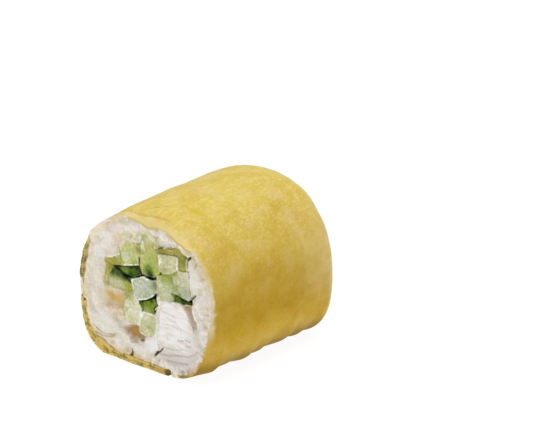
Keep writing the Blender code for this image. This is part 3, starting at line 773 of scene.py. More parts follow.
def swollen(name, outlines):
    """A stick's outline, each point moved out until it meets a neighbour."""
    outline = outlines[name]
    out = outward(outline)
    steps = np.linspace(0, SWELL, 9)
    tried = outline[:, None, :] + out[:, None, :] * steps[:, None]
    reach = np.zeros(len(outline))
    for other, shape in outlines.items():
        if other == name:
            continue
        film = CRACK if {name, other} in CRACKED_PAIRS else FILM
        distance = polygon_distance(tried[..., 0], tried[..., 1], shape)
        meets = distance[:, 0] < 2 * SWELL
        halfway = np.clip((distance[:, 0] - film) / 2, 0, SWELL)
        reach = np.where(meets, np.maximum(reach, halfway), reach)
    for _ in range(2):
        reach = (np.roll(reach, 1) + 2 * reach + np.roll(reach, -1)) / 4
    return outline + out * reach[:, None]


def cheese_outline():
    corners = cut_corners(np.array(CHEESE_CORNERS_MM) * MM, CHEESE_CORNER_CUT, 2)
    return rough_outline(corners, CHEESE_WOBBLE, CHEESE_WOBBLE_SIZE, CHEESE_POINTS)


SIDE_STEPS_MM = (0.3, 0.7, 1.3, 2.2, 4)  # where rings lie along a prism's side, from its caps
MIDDLE_START = 8 * MM


def prism(outline, front, back, edge, cap_rings):
    """Rings of points, from the middle of the front cap, along the side, to the back cap's middle.

    Returns the points, and for each the share of the way from the cap's middle to its rim.
    """
    middle = outline.mean(axis=0)
    mean_radius = np.hypot(*(outline - middle).T).mean()
    shrink = edge / mean_radius
    flat = [(share * (1 - shrink), 0.0) for share in np.linspace(0.5 / cap_rings, 1, cap_rings)]
    rounded = [
        (1 - shrink * (1 - math.sin(a)), edge * (1 - math.cos(a)))
        for a in np.radians((30, 60, 90))
    ]
    cap = flat + rounded
    length = back - front - 2 * edge
    sides = [edge + step * MM for step in SIDE_STEPS_MM]
    spread = list(np.linspace(MIDDLE_START, length - MIDDLE_START, 4))
    side = [(1.0, y) for y in sides + spread] + [(1.0, back - front - y) for y in sides[::-1]]
    rings = [(s, front + y) for s, y in cap] + [(s, front + y) for s, y in side]
    rings += [(s, back - y) for s, y in cap[::-1]]
    points, shares = [], []
    for share, y in rings:
        ring = middle + (outline - middle) * share
        points.append(np.stack([ring[:, 0], np.full(len(ring), y), ring[:, 1]], axis=1))
        shares.append(np.full(len(ring), share))
    return np.array(points), np.array(shares)


def prism_faces(rings, around):
    faces = ring_faces(rings, around)
    faces.append(tuple(reversed(range(around))))
    faces.append(tuple(range((rings - 1) * around, rings * around)))
    return [face[::-1] for face in faces]


def stick_colours(name, points, shares):
    main, dabs, rim, _ = FACES[name]
    cloud = noise_at(points, 0.9 * MM, seed=len(name))
    colours = np.broadcast_to(linear(main), points.shape[:-1] + (4,))
    for colour, x, height_up, reach in dabs:
        distance = np.hypot(points[..., 0] - x * MM, points[..., 2] - height_up * MM) / MM
        share = smooth(1.6 * reach, 0.2 * reach, distance + 0.2 * cloud)
        colours = tinted(colours, colour, share)
    # Painted highlight along the wet rim of the cap.
    rim_highlight = 0.5 * rim * smooth(0.88, 1.0, shares + 0.06 * cloud)
    return draw_lines(points, tinted(colours, HIGHLIGHT_AND_SMEAR_WHITE, rim_highlight), LINES)


def cheese_colours(points):
    """White, with grey marks and a dark line of painted shadow in a crack, which the material
    multiplies in.
    """
    colours = np.broadcast_to(linear(WHITE), points.shape[:-1] + (4,))
    return draw_lines(points, colours, CHEESE_LINES)


def raise_caps(points, on_cap, relief):
    """The points, with those on the two caps moved outwards by a relief."""
    moved = points.copy()
    moved[..., 1] += on_cap * np.where(points[..., 1] < 0, -1.0, 1.0) * relief
    return moved


def make_stick(name, outline):
    front_recess, back_recess = STICKS[name][1:]
    stripes = FACES[name][3]
    front, back = -KNIFE_PLANE + front_recess * MM, KNIFE_PLANE - back_recess * MM
    points, shares = prism(outline, front, back, STICK_EDGE, STICK_CAP_RINGS)
    on_cap = smooth(1.0 * MM, 0.2 * MM, np.minimum(points[..., 1] - front, back - points[..., 1]))
    relief = STICK_RELIEF * noise_at(points, 1.5 * MM, seed=outline[0, 0] / MM)
    relief += STICK_FINE_RELIEF * noise_at(points, 0.5 * MM)
    dome = STICK_DOME * (1 - shares**2)
    moved = raise_caps(points, on_cap, dome + relief - STICK_DOME)
    stick = mesh_object("stick_" + name, moved, prism_faces(len(points), STICK_POINTS))
    paint(stick, stick_colours(name, points, shares))
    stick.data.materials.append(cucumber_material(name, stripes))
    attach(stick, "root")
    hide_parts("cucumber_" + name)


def make_cheese(outline):
    front, back = -KNIFE_PLANE + CHEESE_RECESS, KNIFE_PLANE - CHEESE_BACK_RECESS
    points, _ = prism(outline, front, back, CHEESE_EDGE, CHEESE_RINGS)
    on_cap = smooth(1.5 * MM, 0.4 * MM, KNIFE_PLANE - np.abs(points[..., 1]))
    smeared = points @ Matrix.Rotation(SMEAR_TURN, 3, "Y") * np.array([0.22, 1.0, 1.0])
    ridges = 0.08 * MM * noise_at(smeared, 0.5 * MM) + 0.1 * MM * noise_at(smeared, 1.1 * MM)
    swells = 0.16 * MM * noise_at(points, 2.6 * MM)
    crumbs = 0.05 * MM * noise_at(points, 0.35 * MM)
    moved = raise_caps(points, on_cap, ridges + swells + crumbs - CHEESE_EDGE)
    cheese = mesh_object("cheese", moved, prism_faces(len(points), CHEESE_POINTS))
    paint(cheese, cheese_colours(points))
    cheese.data.materials.append(cheese_material())
    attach(cheese, "root")
    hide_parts("cream_cheese")


# -------- rice

RICE_STEP = 0.185 * MM
DEEP_STEP = 1.6 * MM
FINE_DEPTH = 2.3 * MM
GRAIN_LENGTH = 6.0 * MM
GRAIN_WIDTH = 2.7 * MM
GRAIN_MERGE = 0.4 * MM  # how softly neighbouring grains run together
KNIFE_SOFTNESS = 0.3 * MM
CORE_RECESS = 0.42 * MM
FLUSH_WIDTH = 0.9 * MM  # beside the sheet and the cheese, the rice is flush with the cut
CHEESE_OVERLAP = 0.22 * MM  # the rice hides the cheese's rim
STICK_OVERLAP = 0.35 * MM  # and here and there that of a stick
SEED = 20
GRAIN_TRIES = 9000
GRAIN_ROOM = 0.5 * MM  # a grain's middle keeps so far from the sheet and the filling
GRAIN_SPACING = 2.0 * MM
GRAIN_LAYERS = (1.2 * MM, 0.1 * MM)  # how far behind the knife's plane the grains begin
GRAIN_LEANS = (88, 80, 70, 60, 25)  # degrees between a grain and the roll's axis
PLAIN_SHADE = 0.35
GAP_SINK = 0.25 * MM  # the rice lies lower between two sticks
CRACK_SINK = 2.5 * MM
HILLS = 0.22 * MM
HILL_SIZE = 1.6 * MM
FRILL_WIDTH = 0.45 * MM
FRILL_LENGTH = 1.6 * MM
FRILL_HEIGHT = 0.25 * MM

# Lumps of rice that stand out on the front face: x, height, half length, half width, the turn of
# the long way in degrees, how far the lump stands behind the knife's plane, and how white it is.
LUMPS = (
    (-9.6, 5.7, 3.1, 1.9, -8, 0.00, 0.6), (-6.1, 2.7, 2.3, 1.8, 70, 0.15, 0.5),
    (-0.9, 2.9, 2.5, 1.3, 8, 0.10, 0.7), (4.4, 1.7, 2.3, 0.8, 5, 0.05, 0.8),
    (-8.0, 8.3, 2.4, 1.1, 8, 0.10, 0.4), (-11.7, 9.4, 1.3, 2.3, 5, 0.10, 0.7),
    (-11.1, 14.3, 1.5, 2.6, 0, 0.00, 0.5), (-11.0, 18.4, 2.2, 1.4, 50, 0.10, 0.8),
    (-8.4, 21.0, 2.5, 1.5, 45, 0.05, 0.6), (-6.3, 23.6, 2.4, 1.2, 30, 0.15, 0.4),
    (-2.9, 24.3, 2.0, 1.2, 18, 0.05, 0.9), (1.0, 24.9, 2.3, 1.0, 0, 0.10, 0.5),
    (4.8, 24.5, 2.2, 1.0, -10, 0.05, 0.8), (9.0, 23.4, 2.1, 1.0, -30, 0.10, 0.6),
    (11.6, 19.8, 1.4, 2.9, 0, 0.00, 0.9), (12.3, 14.4, 1.5, 2.3, -8, 0.05, 0.6),
    (13.0, 9.3, 1.1, 2.5, 4, 0.10, 0.7), (-12.9, 6.6, 0.9, 1.8, 12, 0.25, 0.3),
)

# Hollows in the front face: corners as (x, height), depth, how soft the edge is, and the colour. The
# tan and brown colours are painted shade, the yellow and olive patches are stain and painted shade
# together, and the white ones are smears.
HOLLOWS = (
    (((-9.5, 12.8), (-9.8, 11.0), (-8.8, 9.3), (-5.8, 8.5), (-4.8, 9.6), (-3.8, 11.5),
      (-3.6, 12.8)), 0.05, 1.9, PATCH),
    (((-4.7, 13.0), (-3.4, 13.2), (-3.2, 12.2), (-3.9, 11.0), (-4.7, 11.6)), 0.0, 1.2, "AA9F38"),
    (((-5.7, 5.6), (-4.5, 5.0), (-3.6, 3.9), (-2.4, 4.2), (-1.3, 4.7), (-0.1, 5.1), (0.3, 5.6),
      (-0.9, 5.8), (-1.6, 6.2), (-1.7, 7.1), (-2.7, 7.1), (-4.0, 6.5)), 0.9, 0.7, TAN),
    (((8.6, 13.5), (9.4, 12.7), (10.0, 11.6), (10.6, 10.0), (11.0, 9.5), (11.8, 10.1),
      (11.5, 11.4), (10.8, 12.8), (10.3, 13.9)), 0.7, 0.5, "B89458"),
    (((-4.5, 0.4), (-2.7, 0.5), (-3.3, 1.8)), 0.5, 0.3, "C08A3E"),
    (((-0.5, 4.3), (1.2, 5.6), (2.6, 6.4), (4.0, 4.6), (3.0, 3.9), (1.3, 3.0), (0.1, 3.4)),
     0.0, 0.7, "FCFBF8"),
    (((2.2, 13.3), (3.4, 13.9), (3.7, 12.8), (3.2, 11.4), (2.6, 12.2)), 0.0, 0.3, HIGHLIGHT_AND_SMEAR_WHITE),
)

# Cracks in the front face: points as (x, height), half width, depth and colour; the colours are
# painted shade.
CRACKS = (
    (((2.0, 2.7), (2.7, 3.5), (3.5, 3.8), (4.2, 4.5)), 0.12, 1.3, DARK),
    (((-3.6, 1.2), (-3.45, 1.8), (-3.2, 2.4)), 0.09, 1.3, "6A4A20"),
    (((10.2, 14.6), (10.7, 15.4), (11.4, 15.95)), 0.05, 0.8, "2E2E14"),
    (((9.4, 21.8), (10.0, 22.1), (10.4, 22.5)), 0.13, 1.2, DARK),
    (((11.6, 21.0), (12.0, 21.8)), 0.03, 0.2, "A8A078"),
    (((-1.3, 4.55), (-0.6, 4.8)), 0.12, 1.0, BROWN),
    (((-11.6, 3.4), (-10.0, 3.0), (-8.5, 3.2), (-7.5, 3.7)), 0.08, 0.35, "C8B47A"),
)


def smooth_less(first, second, reach):
    """The lesser of two fields, rounded where they are nearly equal."""
    near = np.maximum(reach - np.abs(first - second), 0) / reach
    return np.minimum(first, second) - near * near * reach / 4


def smooth_more(first, second, reach):
    return -smooth_less(-first, -second, reach)


def rice_axes():
    half = HALF_LENGTH
    fine = np.arange(0, FINE_DEPTH, RICE_STEP) - 3 * RICE_STEP
    front = -half + fine
    middle = np.linspace(front[-1], -front[-1], int(-2 * front[-1] / DEEP_STEP))[1:-1]
    along = np.concatenate([front, middle, -front[::-1]])
    across = np.arange(-HALF_WIDTH - 2 * RICE_STEP, HALF_WIDTH + 2 * RICE_STEP, RICE_STEP)
    upright = np.arange(-2 * RICE_STEP, AXIS_HEIGHT + TOP_REACH + 4 * RICE_STEP, RICE_STEP)
    return across, along, upright


def rice_reach(angle, along):
    """The rice's outer radius: inside the sheet, and out to the skin where it hides the edge."""
    end = math.copysign(1, along)
    inside_roll = min(abs(along), HALF_LENGTH) * end
    skin = skin_radius(angle, inside_roll)
    inner = skin - sheet_depth(angle, inside_roll) - RICE_TO_SHEET
    sheet_end = sheet_half_length(angle, end)
    lip = smooth(sheet_end - LIP_LENGTH, sheet_end - 0.1 * MM, abs(along))
    outer = skin + LIP_HEIGHT
    return inner + (outer - inner) * lip * min(rice_cover(angle, end) * 1.6, 1.0)


def rice_envelope(axes):
    """How far outside the sheet's inner face each point lies."""
    across, along, upright = axes
    x, z = face_grid(axes)
    distance = np.hypot(x, z - AXIS_HEIGHT)
    turn = np.arctan2(z - AXIS_HEIGHT, x) % math.tau
    angles = np.linspace(0, math.tau, 361)
    field = np.empty((len(across), len(along), len(upright)), np.float32)
    for row, y in enumerate(along):
        inside_roll = min(max(y, -HALF_LENGTH), HALF_LENGTH)
        reach = np.array([rice_reach(a, y) for a in angles])
        skins = np.array([skin_radius(a, inside_roll) for a in angles])
        round_field = distance - np.interp(turn, angles, reach)
        floor_field = np.interp(turn, angles, skins - reach) - z
        field[:, row, :] = np.maximum(round_field, floor_field)
    return field


def face_grid(axes):
    return np.meshgrid(axes[0], axes[2], indexing="ij")


def filling_fields(axes, outlines):
    """Signed distances on the cut face: to each stick and to the cheese."""
    x, z = face_grid(axes)
    return {name: polygon_distance(x, z, outline) for name, outline in outlines.items()}


def stick_fields(fields):
    return [field for name, field in fields.items() if name != "cheese"]


def between_sticks(fields):
    """From 0 to 1: how narrowly each place lies between two sticks."""
    nearest = np.sort(np.array(stick_fields(fields)), axis=0)
    return smooth(1.1 * MM, 0.7 * MM, nearest[0] + nearest[1])


def in_cracks(fields):
    """From 0 to 1 in the dark cracks between the pairs that gape."""
    gaps = [fields[first] + fields[second] for first, second in map(sorted, CRACKED_PAIRS)]
    return smooth(0.75 * MM, 0.5 * MM, np.min(gaps, axis=0))


def grain_places(draw, axes, free, spared):
    """Seeded places in the rice on the cut face, each a little way from the others."""
    places = list(spared)
    for _ in range(GRAIN_TRIES):
        x = draw.uniform(-HALF_WIDTH, HALF_WIDTH)
        z = draw.uniform(0, AXIS_HEIGHT + TOP_REACH)
        column = int((x - axes[0][0]) / RICE_STEP)
        row = int((z - axes[2][0]) / RICE_STEP)
        if free[column, row] < GRAIN_ROOM:
            continue
        if any(math.dist((x, z), other) < GRAIN_SPACING for other in places):
            continue
        places.append((x, z))
    return places[len(spared) :]


def grain_frame(draw, place, end, deep):
    """A grain's middle, its axes and its half sizes."""
    x, z = place
    width = GRAIN_WIDTH * draw.uniform(0.85, 1.15)
    sizes = np.array([width / 2, width * 0.45, GRAIN_LENGTH * draw.uniform(0.8, 1.1) / 2])
    lean = math.radians(draw.choice(GRAIN_LEANS))
    around = math.atan2(z - AXIS_HEIGHT, x) + math.pi / 2 + draw.uniform(-0.9, 0.9)
    flat = math.sin(lean)
    long_axis = Vector((math.cos(around) * flat, math.cos(lean), math.sin(around) * flat))
    spin = Matrix.Rotation(draw.uniform(0, math.tau), 3, "Z")
    turn = np.array(long_axis.to_track_quat("Z", "Y").to_matrix() @ spin)
    y = end * (KNIFE_PLANE - width / 2 - deep)
    return np.array([x, y, z]), turn, sizes


def lump_frame(lump):
    x, height_up, long_half, wide_half, turned, behind, _ = lump
    turn = np.array(Matrix.Rotation(math.radians(-turned), 3, "Y"))
    sizes = np.array([long_half, 1.3, wide_half]) * MM
    y = -KNIFE_PLANE + sizes[1] + (behind - 0.25) * MM
    return np.array([x * MM, y, height_up * MM]), turn, sizes


def add_grain(field, shade, axes, grain, value):
    """Joins one grain to the field, near the grain alone."""
    middle, turn, sizes = grain
    reach = sizes.max() + 2 * GRAIN_MERGE
    spans = []
    for axis, centre in zip(axes, middle):
        low, high = np.searchsorted(axis, (centre - reach, centre + reach))
        spans.append(slice(low, high))
    grids = np.meshgrid(*(axis[span] for axis, span in zip(axes, spans)), indexing="ij")
    offset = np.stack([g - c for g, c in zip(grids, middle)], axis=-1)
    local = offset @ turn
    once = np.linalg.norm(local / sizes, axis=-1)
    twice = np.linalg.norm(local / sizes**2, axis=-1)
    distance = (once * (once - 1) / np.maximum(twice, 1e-6)).astype(np.float32)
    box = tuple(spans)
    closer = distance < field[box]
    shade[box] = np.where(closer, value, shade[box])
    field[box] = smooth_less(field[box], distance, GRAIN_MERGE)


def hollow_distance(x, z, hollow):
    return polygon_distance(x, z, np.array(hollow[0]) * MM)


def front_sinks(x, z):
    """How far hollows and cracks sink the front face, at places on it."""
    rough = 0.22 * MM * noise_at(on_plane(x, z), 1.0 * MM, seed=7)
    sunk = np.zeros_like(x)
    for hollow in HOLLOWS:
        depth, soft = hollow[1:3]
        inside = smooth(0.3 * soft * MM, -0.7 * soft * MM, hollow_distance(x, z, hollow) + rough)
        sunk = np.maximum(sunk, depth * MM * inside)
    for crack in CRACKS:
        past = line_distance(x, z, crack[0]) - crack[1] * MM
        inside = smooth(0.1 * MM, -0.1 * MM, past + 0.3 * rough)
        sunk = np.maximum(sunk, crack[2] * MM * inside)
    return sunk


def crossings_along(field, axis):
    """Where a field changes sign along an axis, how far on, and whether it begins inside."""
    low, high = [slice(None)] * 3, [slice(None)] * 3
    low[axis], high[axis] = slice(None, -1), slice(1, None)
    near, far = field[tuple(low)], field[tuple(high)]
    crossed = (near < 0) != (far < 0)
    share = np.where(crossed, near / np.where(crossed, near - far, 1), 0)
    return crossed, share, near < 0


def net_points(crossings, cells):
    """Numbers for the cells that the surface passes, and the middle of each one's crossings."""
    hits = np.zeros(cells, np.float32)
    place = np.zeros((3, *cells), np.float32)
    index = np.indices(cells, dtype=np.float32)
    for axis, (crossed, share, _) in enumerate(crossings):
        first, second = (axis + 1) % 3, (axis + 2) % 3
        for a, b in ((0, 0), (0, 1), (1, 0), (1, 1)):
            cut = [slice(None)] * 3
            cut[first] = slice(a, a + cells[first])
            cut[second] = slice(b, b + cells[second])
            here = crossed[tuple(cut)]
            hits += here
            place[axis] += here * (index[axis] + share[tuple(cut)])
            place[first] += here * (index[first] + a)
            place[second] += here * (index[second] + b)
    used = hits > 0
    numbers = np.full(cells, -1)
    numbers[used] = np.arange(used.sum())
    return numbers, place[:, used] / hits[used]


def net_quads(axis, crossed, begins_inside, numbers):
    """One quad for each crossing, between the four cells round it."""
    cells = numbers.shape
    first, second = (axis + 1) % 3, (axis + 2) % 3
    at = np.argwhere(crossed)
    inner = (at[:, first] > 0) & (at[:, second] > 0)
    inner &= (at[:, first] < cells[first]) & (at[:, second] < cells[second])
    at = at[inner]
    corners = []
    for a, b in ((-1, -1), (0, -1), (0, 0), (-1, 0)):
        cell = at.copy()
        cell[:, first] += a
        cell[:, second] += b
        corners.append(numbers[tuple(cell.T)])
    quads = np.stack(corners, axis=1)
    turned = ~begins_inside[tuple(at.T)]
    quads[turned] = quads[turned][:, ::-1]
    return quads


def surface_net(field, axes):
    """Points and quads round the zero level of a field on a grid."""
    crossings = [crossings_along(field, axis) for axis in range(3)]
    numbers, middle = net_points(crossings, tuple(n - 1 for n in field.shape))
    points = [np.interp(middle[k], np.arange(len(axes[k])), axes[k]) for k in range(3)]
    faces = [net_quads(k, crossings[k][0], crossings[k][2], numbers) for k in range(3)]
    return np.stack(points, axis=1), np.vstack(faces)


def nearest_values(volume, axes, points):
    """The value of the grid point nearest to each point."""
    at = []
    for axis, values in zip(axes, points.T):
        after = np.clip(np.searchsorted(axis, values), 1, len(axis) - 1)
        at.append(after - (values - axis[after - 1] < axis[after] - values))
    return volume[tuple(at)]


def smears(x, z):
    """From 0 to 1: where rice is smeared over the rim of a stick."""
    upper_left = 0.9 * smooth(3 * MM, 2 * MM, x) * smooth(18.5 * MM, 20 * MM, z)
    return np.maximum(smooth(0.0, 0.5, noise_at(on_plane(x, z), 1.3 * MM, 12)), upper_left)


def core_recess(axes, fields, envelope, over_stick):
    """How far the core under the grains stays behind the knife's plane."""
    hills = HILLS * noise_at(on_plane(*face_grid(axes)), HILL_SIZE, seed=3)[:, None, :]
    flush = smooth(0.6, 1.0, envelope / FLUSH_WIDTH + 1.4)
    beside_cheese = smooth(FLUSH_WIDTH, 0.3 * FLUSH_WIDTH, fields["cheese"])[:, None, :]
    level = np.maximum(np.maximum(flush, beside_cheese), over_stick)
    return CORE_RECESS * (1 - level) + (0.12 * MM + hills) * (1 - over_stick)


def add_grains(field, shade, axes, draw, free):
    """Joins the lumps of the front face, and two layers of seeded grains at both ends."""
    for lump in LUMPS:
        add_grain(field, shade, axes, lump_frame(lump), lump[6])
    lumps = [(lump[0] * MM, lump[1] * MM) for lump in LUMPS]
    for end in (-1, 1):
        for deep, spared in zip(GRAIN_LAYERS, ([], lumps if end < 0 else [])):
            for place in grain_places(draw, axes, free, spared):
                grain = grain_frame(draw, place, end, deep + draw.uniform(0, 0.4) * MM)
                add_grain(field, shade, axes, grain, draw.uniform(0, 1))


def rice_field(axes, draw, fields):
    """The rice as a field, and a shade from 0 to 1 for the grain that each point belongs to."""
    along = axes[1][None, :, None]
    envelope = rice_envelope(axes)
    sunk = between_sticks(fields) * GAP_SINK + in_cracks(fields) * CRACK_SINK
    knife = np.abs(along) - KNIFE_PLANE + sunk[:, None, :]
    x, z = face_grid(axes)
    sinks = front_sinks(x, z)[:, None, :] * (along < 0)
    smear = smears(x, z)
    sticks = np.min(stick_fields(fields), axis=0)
    over_stick = (smear * smooth(0.9 * MM, 0.3 * MM, np.abs(sticks)))[:, None, :]
    recess = core_recess(axes, fields, envelope, over_stick)
    field = np.maximum(envelope, knife + recess + 0.7 * sinks).astype(np.float32)
    shade = np.full(field.shape, PLAIN_SHADE, np.float32)
    filling = np.minimum(sticks, fields["cheese"])
    free = np.minimum(filling, -envelope[:, len(axes[1]) // 2, :])
    add_grains(field, shade, axes, draw, free)
    field = smooth_more(field, (knife + sinks).astype(np.float32), KNIFE_SOFTNESS)
    field = np.maximum(field, envelope)
    hollow_for = np.minimum(sticks + STICK_OVERLAP * smear, fields["cheese"] + CHEESE_OVERLAP)
    hole = (RICE_TO_FILLING - hollow_for)[:, None, :].astype(np.float32)
    return np.maximum(field, hole), shade


def frill(points, outer):
    """Short ridges of dragged rice, square to the sheet, from -1 to 1, on the roll's right half."""
    x, z = points[:, 0], points[:, 2] - AXIS_HEIGHT
    round_roll = np.arctan2(z, x) * HALF_WIDTH / FRILL_WIDTH
    near = smooth(2.6 * MM, 1.0 * MM, outer) * smooth(-1 * MM, 3 * MM, x)
    near *= smooth(18 * MM, 5 * MM, points[:, 2]) * 0.6 + 0.4
    return near * noise_at(on_plane(round_roll, outer / FRILL_LENGTH), 1.0)


def plain_rice_colours(points, shade, outer, soft):
    """Colours by the grain's shade, its depth, and how near the sheet it lies."""
    x, y, z = points.T
    behind = KNIFE_PLANE - np.abs(y)
    near_sheet = smooth(1.6 * MM, 0.1 * MM, outer + 0.6 * MM * soft)
    yellow = 0.3 + 0.4 * smooth(16 * MM, 23 * MM, z) + 0.4 * smooth(6 * MM, 2 * MM, z)
    ridges = frill(points, outer)
    colours = np.broadcast_to(linear(RICE_CREAM), (len(points), 4))
    for colour, share in (
        (RICE_WHITE, smooth(0.0, 1.0, shade)),
        # Painted shade in the valleys between grains, behind the cut.
        (RICE_VALLEY_SHADE, 0.5 * smooth(0.15 * MM, 0.75 * MM, behind + 0.1 * MM * soft)),
        (RICE_COOL, 0.5 * smooth(-9 * MM, 6 * MM, x - z + 3 * MM * soft)),
        (RICE_YELLOW, near_sheet * yellow),
        (PEACH, 0.75 * near_sheet * smooth(-6 * MM, -10 * MM, x)),
        # Painted highlight on the crests of the dragged ridges, and painted shade in their troughs,
        # browner low down.
        (WHITE, 0.7 * smooth(0.05, 0.4, ridges)),
        (RICE_SHADE, 0.5 * smooth(-0.05, -0.4, ridges)),
        (BROWN, 0.5 * smooth(4 * MM, 1 * MM, z) * smooth(-0.1, -0.5, ridges)),
        (RICE_OLIVE, 0.6 * smooth(27 * MM, 31 * MM, z + 0.7 * x + 2 * MM * soft)),
    ):
        colours = tinted(colours, colour, share)
    return colours


def rice_colours(points, shade, between, cracks, outer, cheese):
    """Each point's colour; the last channel is 1 on plain rice, and 0 in hollows and cracks, whose
    colours are mostly painted shade.
    """
    soft = noise_at(points, 2.6 * MM, seed=4)
    x, y, z = points.T
    front = on_front(y)
    colours = plain_rice_colours(points, shade, outer, soft)
    colours = draw_lines(points, colours, RICE_STAINS_AND_SHADE, inner=-0.6)
    # Marks hollows, cracks and gaps between sticks, most of them painted shade; the material leaves
    # its noise out there.
    recoloured = np.maximum(between, cracks)
    # The hollows' colours: painted shade in most, with smears of white in two.
    for hollow in HOLLOWS:
        reach = hollow[2] * MM
        distance = hollow_distance(x, z, hollow) + 0.4 * reach * soft
        inside = smooth(0.5 * reach, -0.9 * reach, distance) * front
        colours = tinted(colours, hollow[3], inside)
        recoloured = np.maximum(recoloured, inside)
    # Painted shade along the cracks.
    for crack in CRACKS:
        inside = smooth(0.2 * MM, 0.0, line_distance(x, z, crack[0]) - crack[1] * MM) * front
        colours = tinted(colours, crack[3], 0.9 * inside)
        recoloured = np.maximum(recoloured, inside)
    low_right = smooth(2 * MM, 8 * MM, x - 0.5 * z)
    beside_cheese = smooth(1.6 * MM, 0.1 * MM, cheese + 0.7 * MM * soft) * low_right
    colours = tinted(colours, CHEESE_GREY, 0.8 * beside_cheese)
    colours = tinted(colours, GAP_GREEN, 0.9 * between)
    # Painted shadow on the rice in the cracks between gaping sticks.
    colours = tinted(colours, CRACK_SHADOW, cracks)
    colours = draw_lines(points, colours, LINES)
    colours[:, 3] = 1 - recoloured
    return colours


def make_rice(outlines):
    axes = rice_axes()
    fields = filling_fields(axes, outlines)
    field, shade = rice_field(axes, random.Random(SEED), fields)
    points, faces = surface_net(field, axes)
    shades = nearest_values(shade, axes, points)
    sheet_face = rice_envelope((axes[0], [-HALF_LENGTH + RIM_SPREAD_LENGTH], axes[2]))[:, 0]
    on_face = (between_sticks(fields), in_cracks(fields), -sheet_face, fields["cheese"])
    flat_axes, flat_points = (axes[0], axes[2]), points[:, (0, 2)]
    values = [nearest_values(flat, flat_axes, flat_points) for flat in on_face]
    between, cracks, outer, cheese = values
    fine = 0.08 * MM * noise_at(points, 0.7 * MM) + 0.05 * MM * noise_at(points, 0.4 * MM, seed=2)
    at_end = np.abs(points[:, 1]) > HALF_LENGTH - FINE_DEPTH
    fine += FRILL_HEIGHT * frill(points, outer) * np.sign(points[:, 1])
    points[:, 1] += fine * at_end
    rice = mesh_object("rice_bed", points, faces.tolist())
    paint(rice, rice_colours(points, shades, between, cracks, outer, cheese))
    rice.data.materials.append(rice_material())
    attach(rice, "root")
    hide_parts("rice")


# -------- materials


def set_inputs(node, values):
    for key, value in values.items():
        node.inputs[key].default_value = value


class Look:
    """A material in the making: its nodes, and the colour laid on so far."""

    def __init__(self, name, roughness, subsurface, radius, scale, **settings):
        """Values that are the same all over are set on the shader's own sockets."""
        self.material = bpy.data.materials.new(name)
        self.material.use_nodes = True
        self.tree = self.material.node_tree
        self.shader = self.tree.nodes["Principled BSDF"]
        even = {"Roughness": roughness, "Subsurface Weight": subsurface}
        even |= {"Subsurface Radius": radius, "Subsurface Scale": scale * MM}
        even |= {key.replace("_", " "): value for key, value in settings.items()}
        set_inputs(self.shader, even)
        self.where = self.node("ShaderNodeTexCoord").outputs["Object"]
        self.tint, self.alpha = self.node("ShaderNodeVertexColor", layer_name="tint").outputs
        self.colour = self.tint

    def node(self, kind, inputs=None, **settings):
        made = self.tree.nodes.new(kind)
        for key, value in settings.items():
            setattr(made, key, value)
        for key, value in (inputs or {}).items():
            if isinstance(value, bpy.types.NodeSocket):
                self.tree.links.new(value, made.inputs[key])
            else:
                made.inputs[key].default_value = value
        return made

    def place(self):
        return self.node("ShaderNodeSeparateXYZ", {0: self.where}).outputs

    def painted(self):
        """The three channels of the mesh's painted tint."""
        return self.node("ShaderNodeSeparateColor", {0: self.tint}).outputs

    def fog(self, size, stretch=(1, 1, 1), detail=2.0, shift=0.0):
        """Noise from 0 to 1, its features of a real size in millimetres."""
        scale = [share / (size * MM) for share in stretch]
        moved = {"Vector": self.where, "Scale": scale, "Location": (shift,) * 3}
        spot = self.node("ShaderNodeMapping", moved).outputs[0]
        inputs = {"Vector": spot, "Scale": 1.0, "Detail": detail}
        return self.node("ShaderNodeTexNoise", inputs).outputs[0]

    def step(self, value, low, high, to_low=0.0, to_high=1.0):
        """A soft step from one value to another."""
        inputs = {"Value": value, "From Min": low, "From Max": high}
        inputs |= {"To Min": to_low, "To Max": to_high}
        made = self.node("ShaderNodeMapRange", inputs, interpolation_type="SMOOTHSTEP")
        return made.outputs[0]

    def span(self, value, low, high, to_low=0.0, to_high=1.0):
        """Such a step between two places in millimetres."""
        return self.step(value, low * MM, high * MM, to_low, to_high)

    def maths(self, operation, first, second):
        inputs = {0: first, 1: second}
        return self.node("ShaderNodeMath", inputs, operation=operation).outputs[0]

    def product(self, first, *others):
        for other in others:
            first = self.maths("MULTIPLY", first, other)
        return first

    def lay(self, hue, *shares, how="MIX"):
        """Mixes a colour over what is there, by the product of some shares."""
        over = linear(hue) if isinstance(hue, str) else hue
        inputs = {0: self.product(*shares), 6: self.colour, 7: over}
        made = self.node("ShaderNodeMix", inputs, data_type="RGBA", blend_type=how)
        self.colour = made.outputs[2]

    def lay_noise(self, *rows):
        """Lays colours where a noise is past a value: (noise, from, to, share, hue, limits)."""
        for noise_here, start, full, share, hue, *limits in rows:
            self.lay(hue, self.step(noise_here, start, full, 0.0, share), *limits)

    def finish(self, *reliefs):
        """Links the colour, and bumps as (noise, height in millimetres)."""
        under = {}
        for height, distance in reliefs:
            inputs = {"Height": height, "Distance": distance * MM, "Strength": 1.0, **under}
            under = {"Normal": self.node("ShaderNodeBump", inputs).outputs[0]}
        self.tree.links.new(self.colour, self.shader.inputs["Base Color"])
        self.tree.links.new(under["Normal"], self.shader.inputs["Normal"])
        return self.material


SHEET_GLOW = (1.0, 0.6, 0.25)  # how far red, green and blue light travel inside, as shares


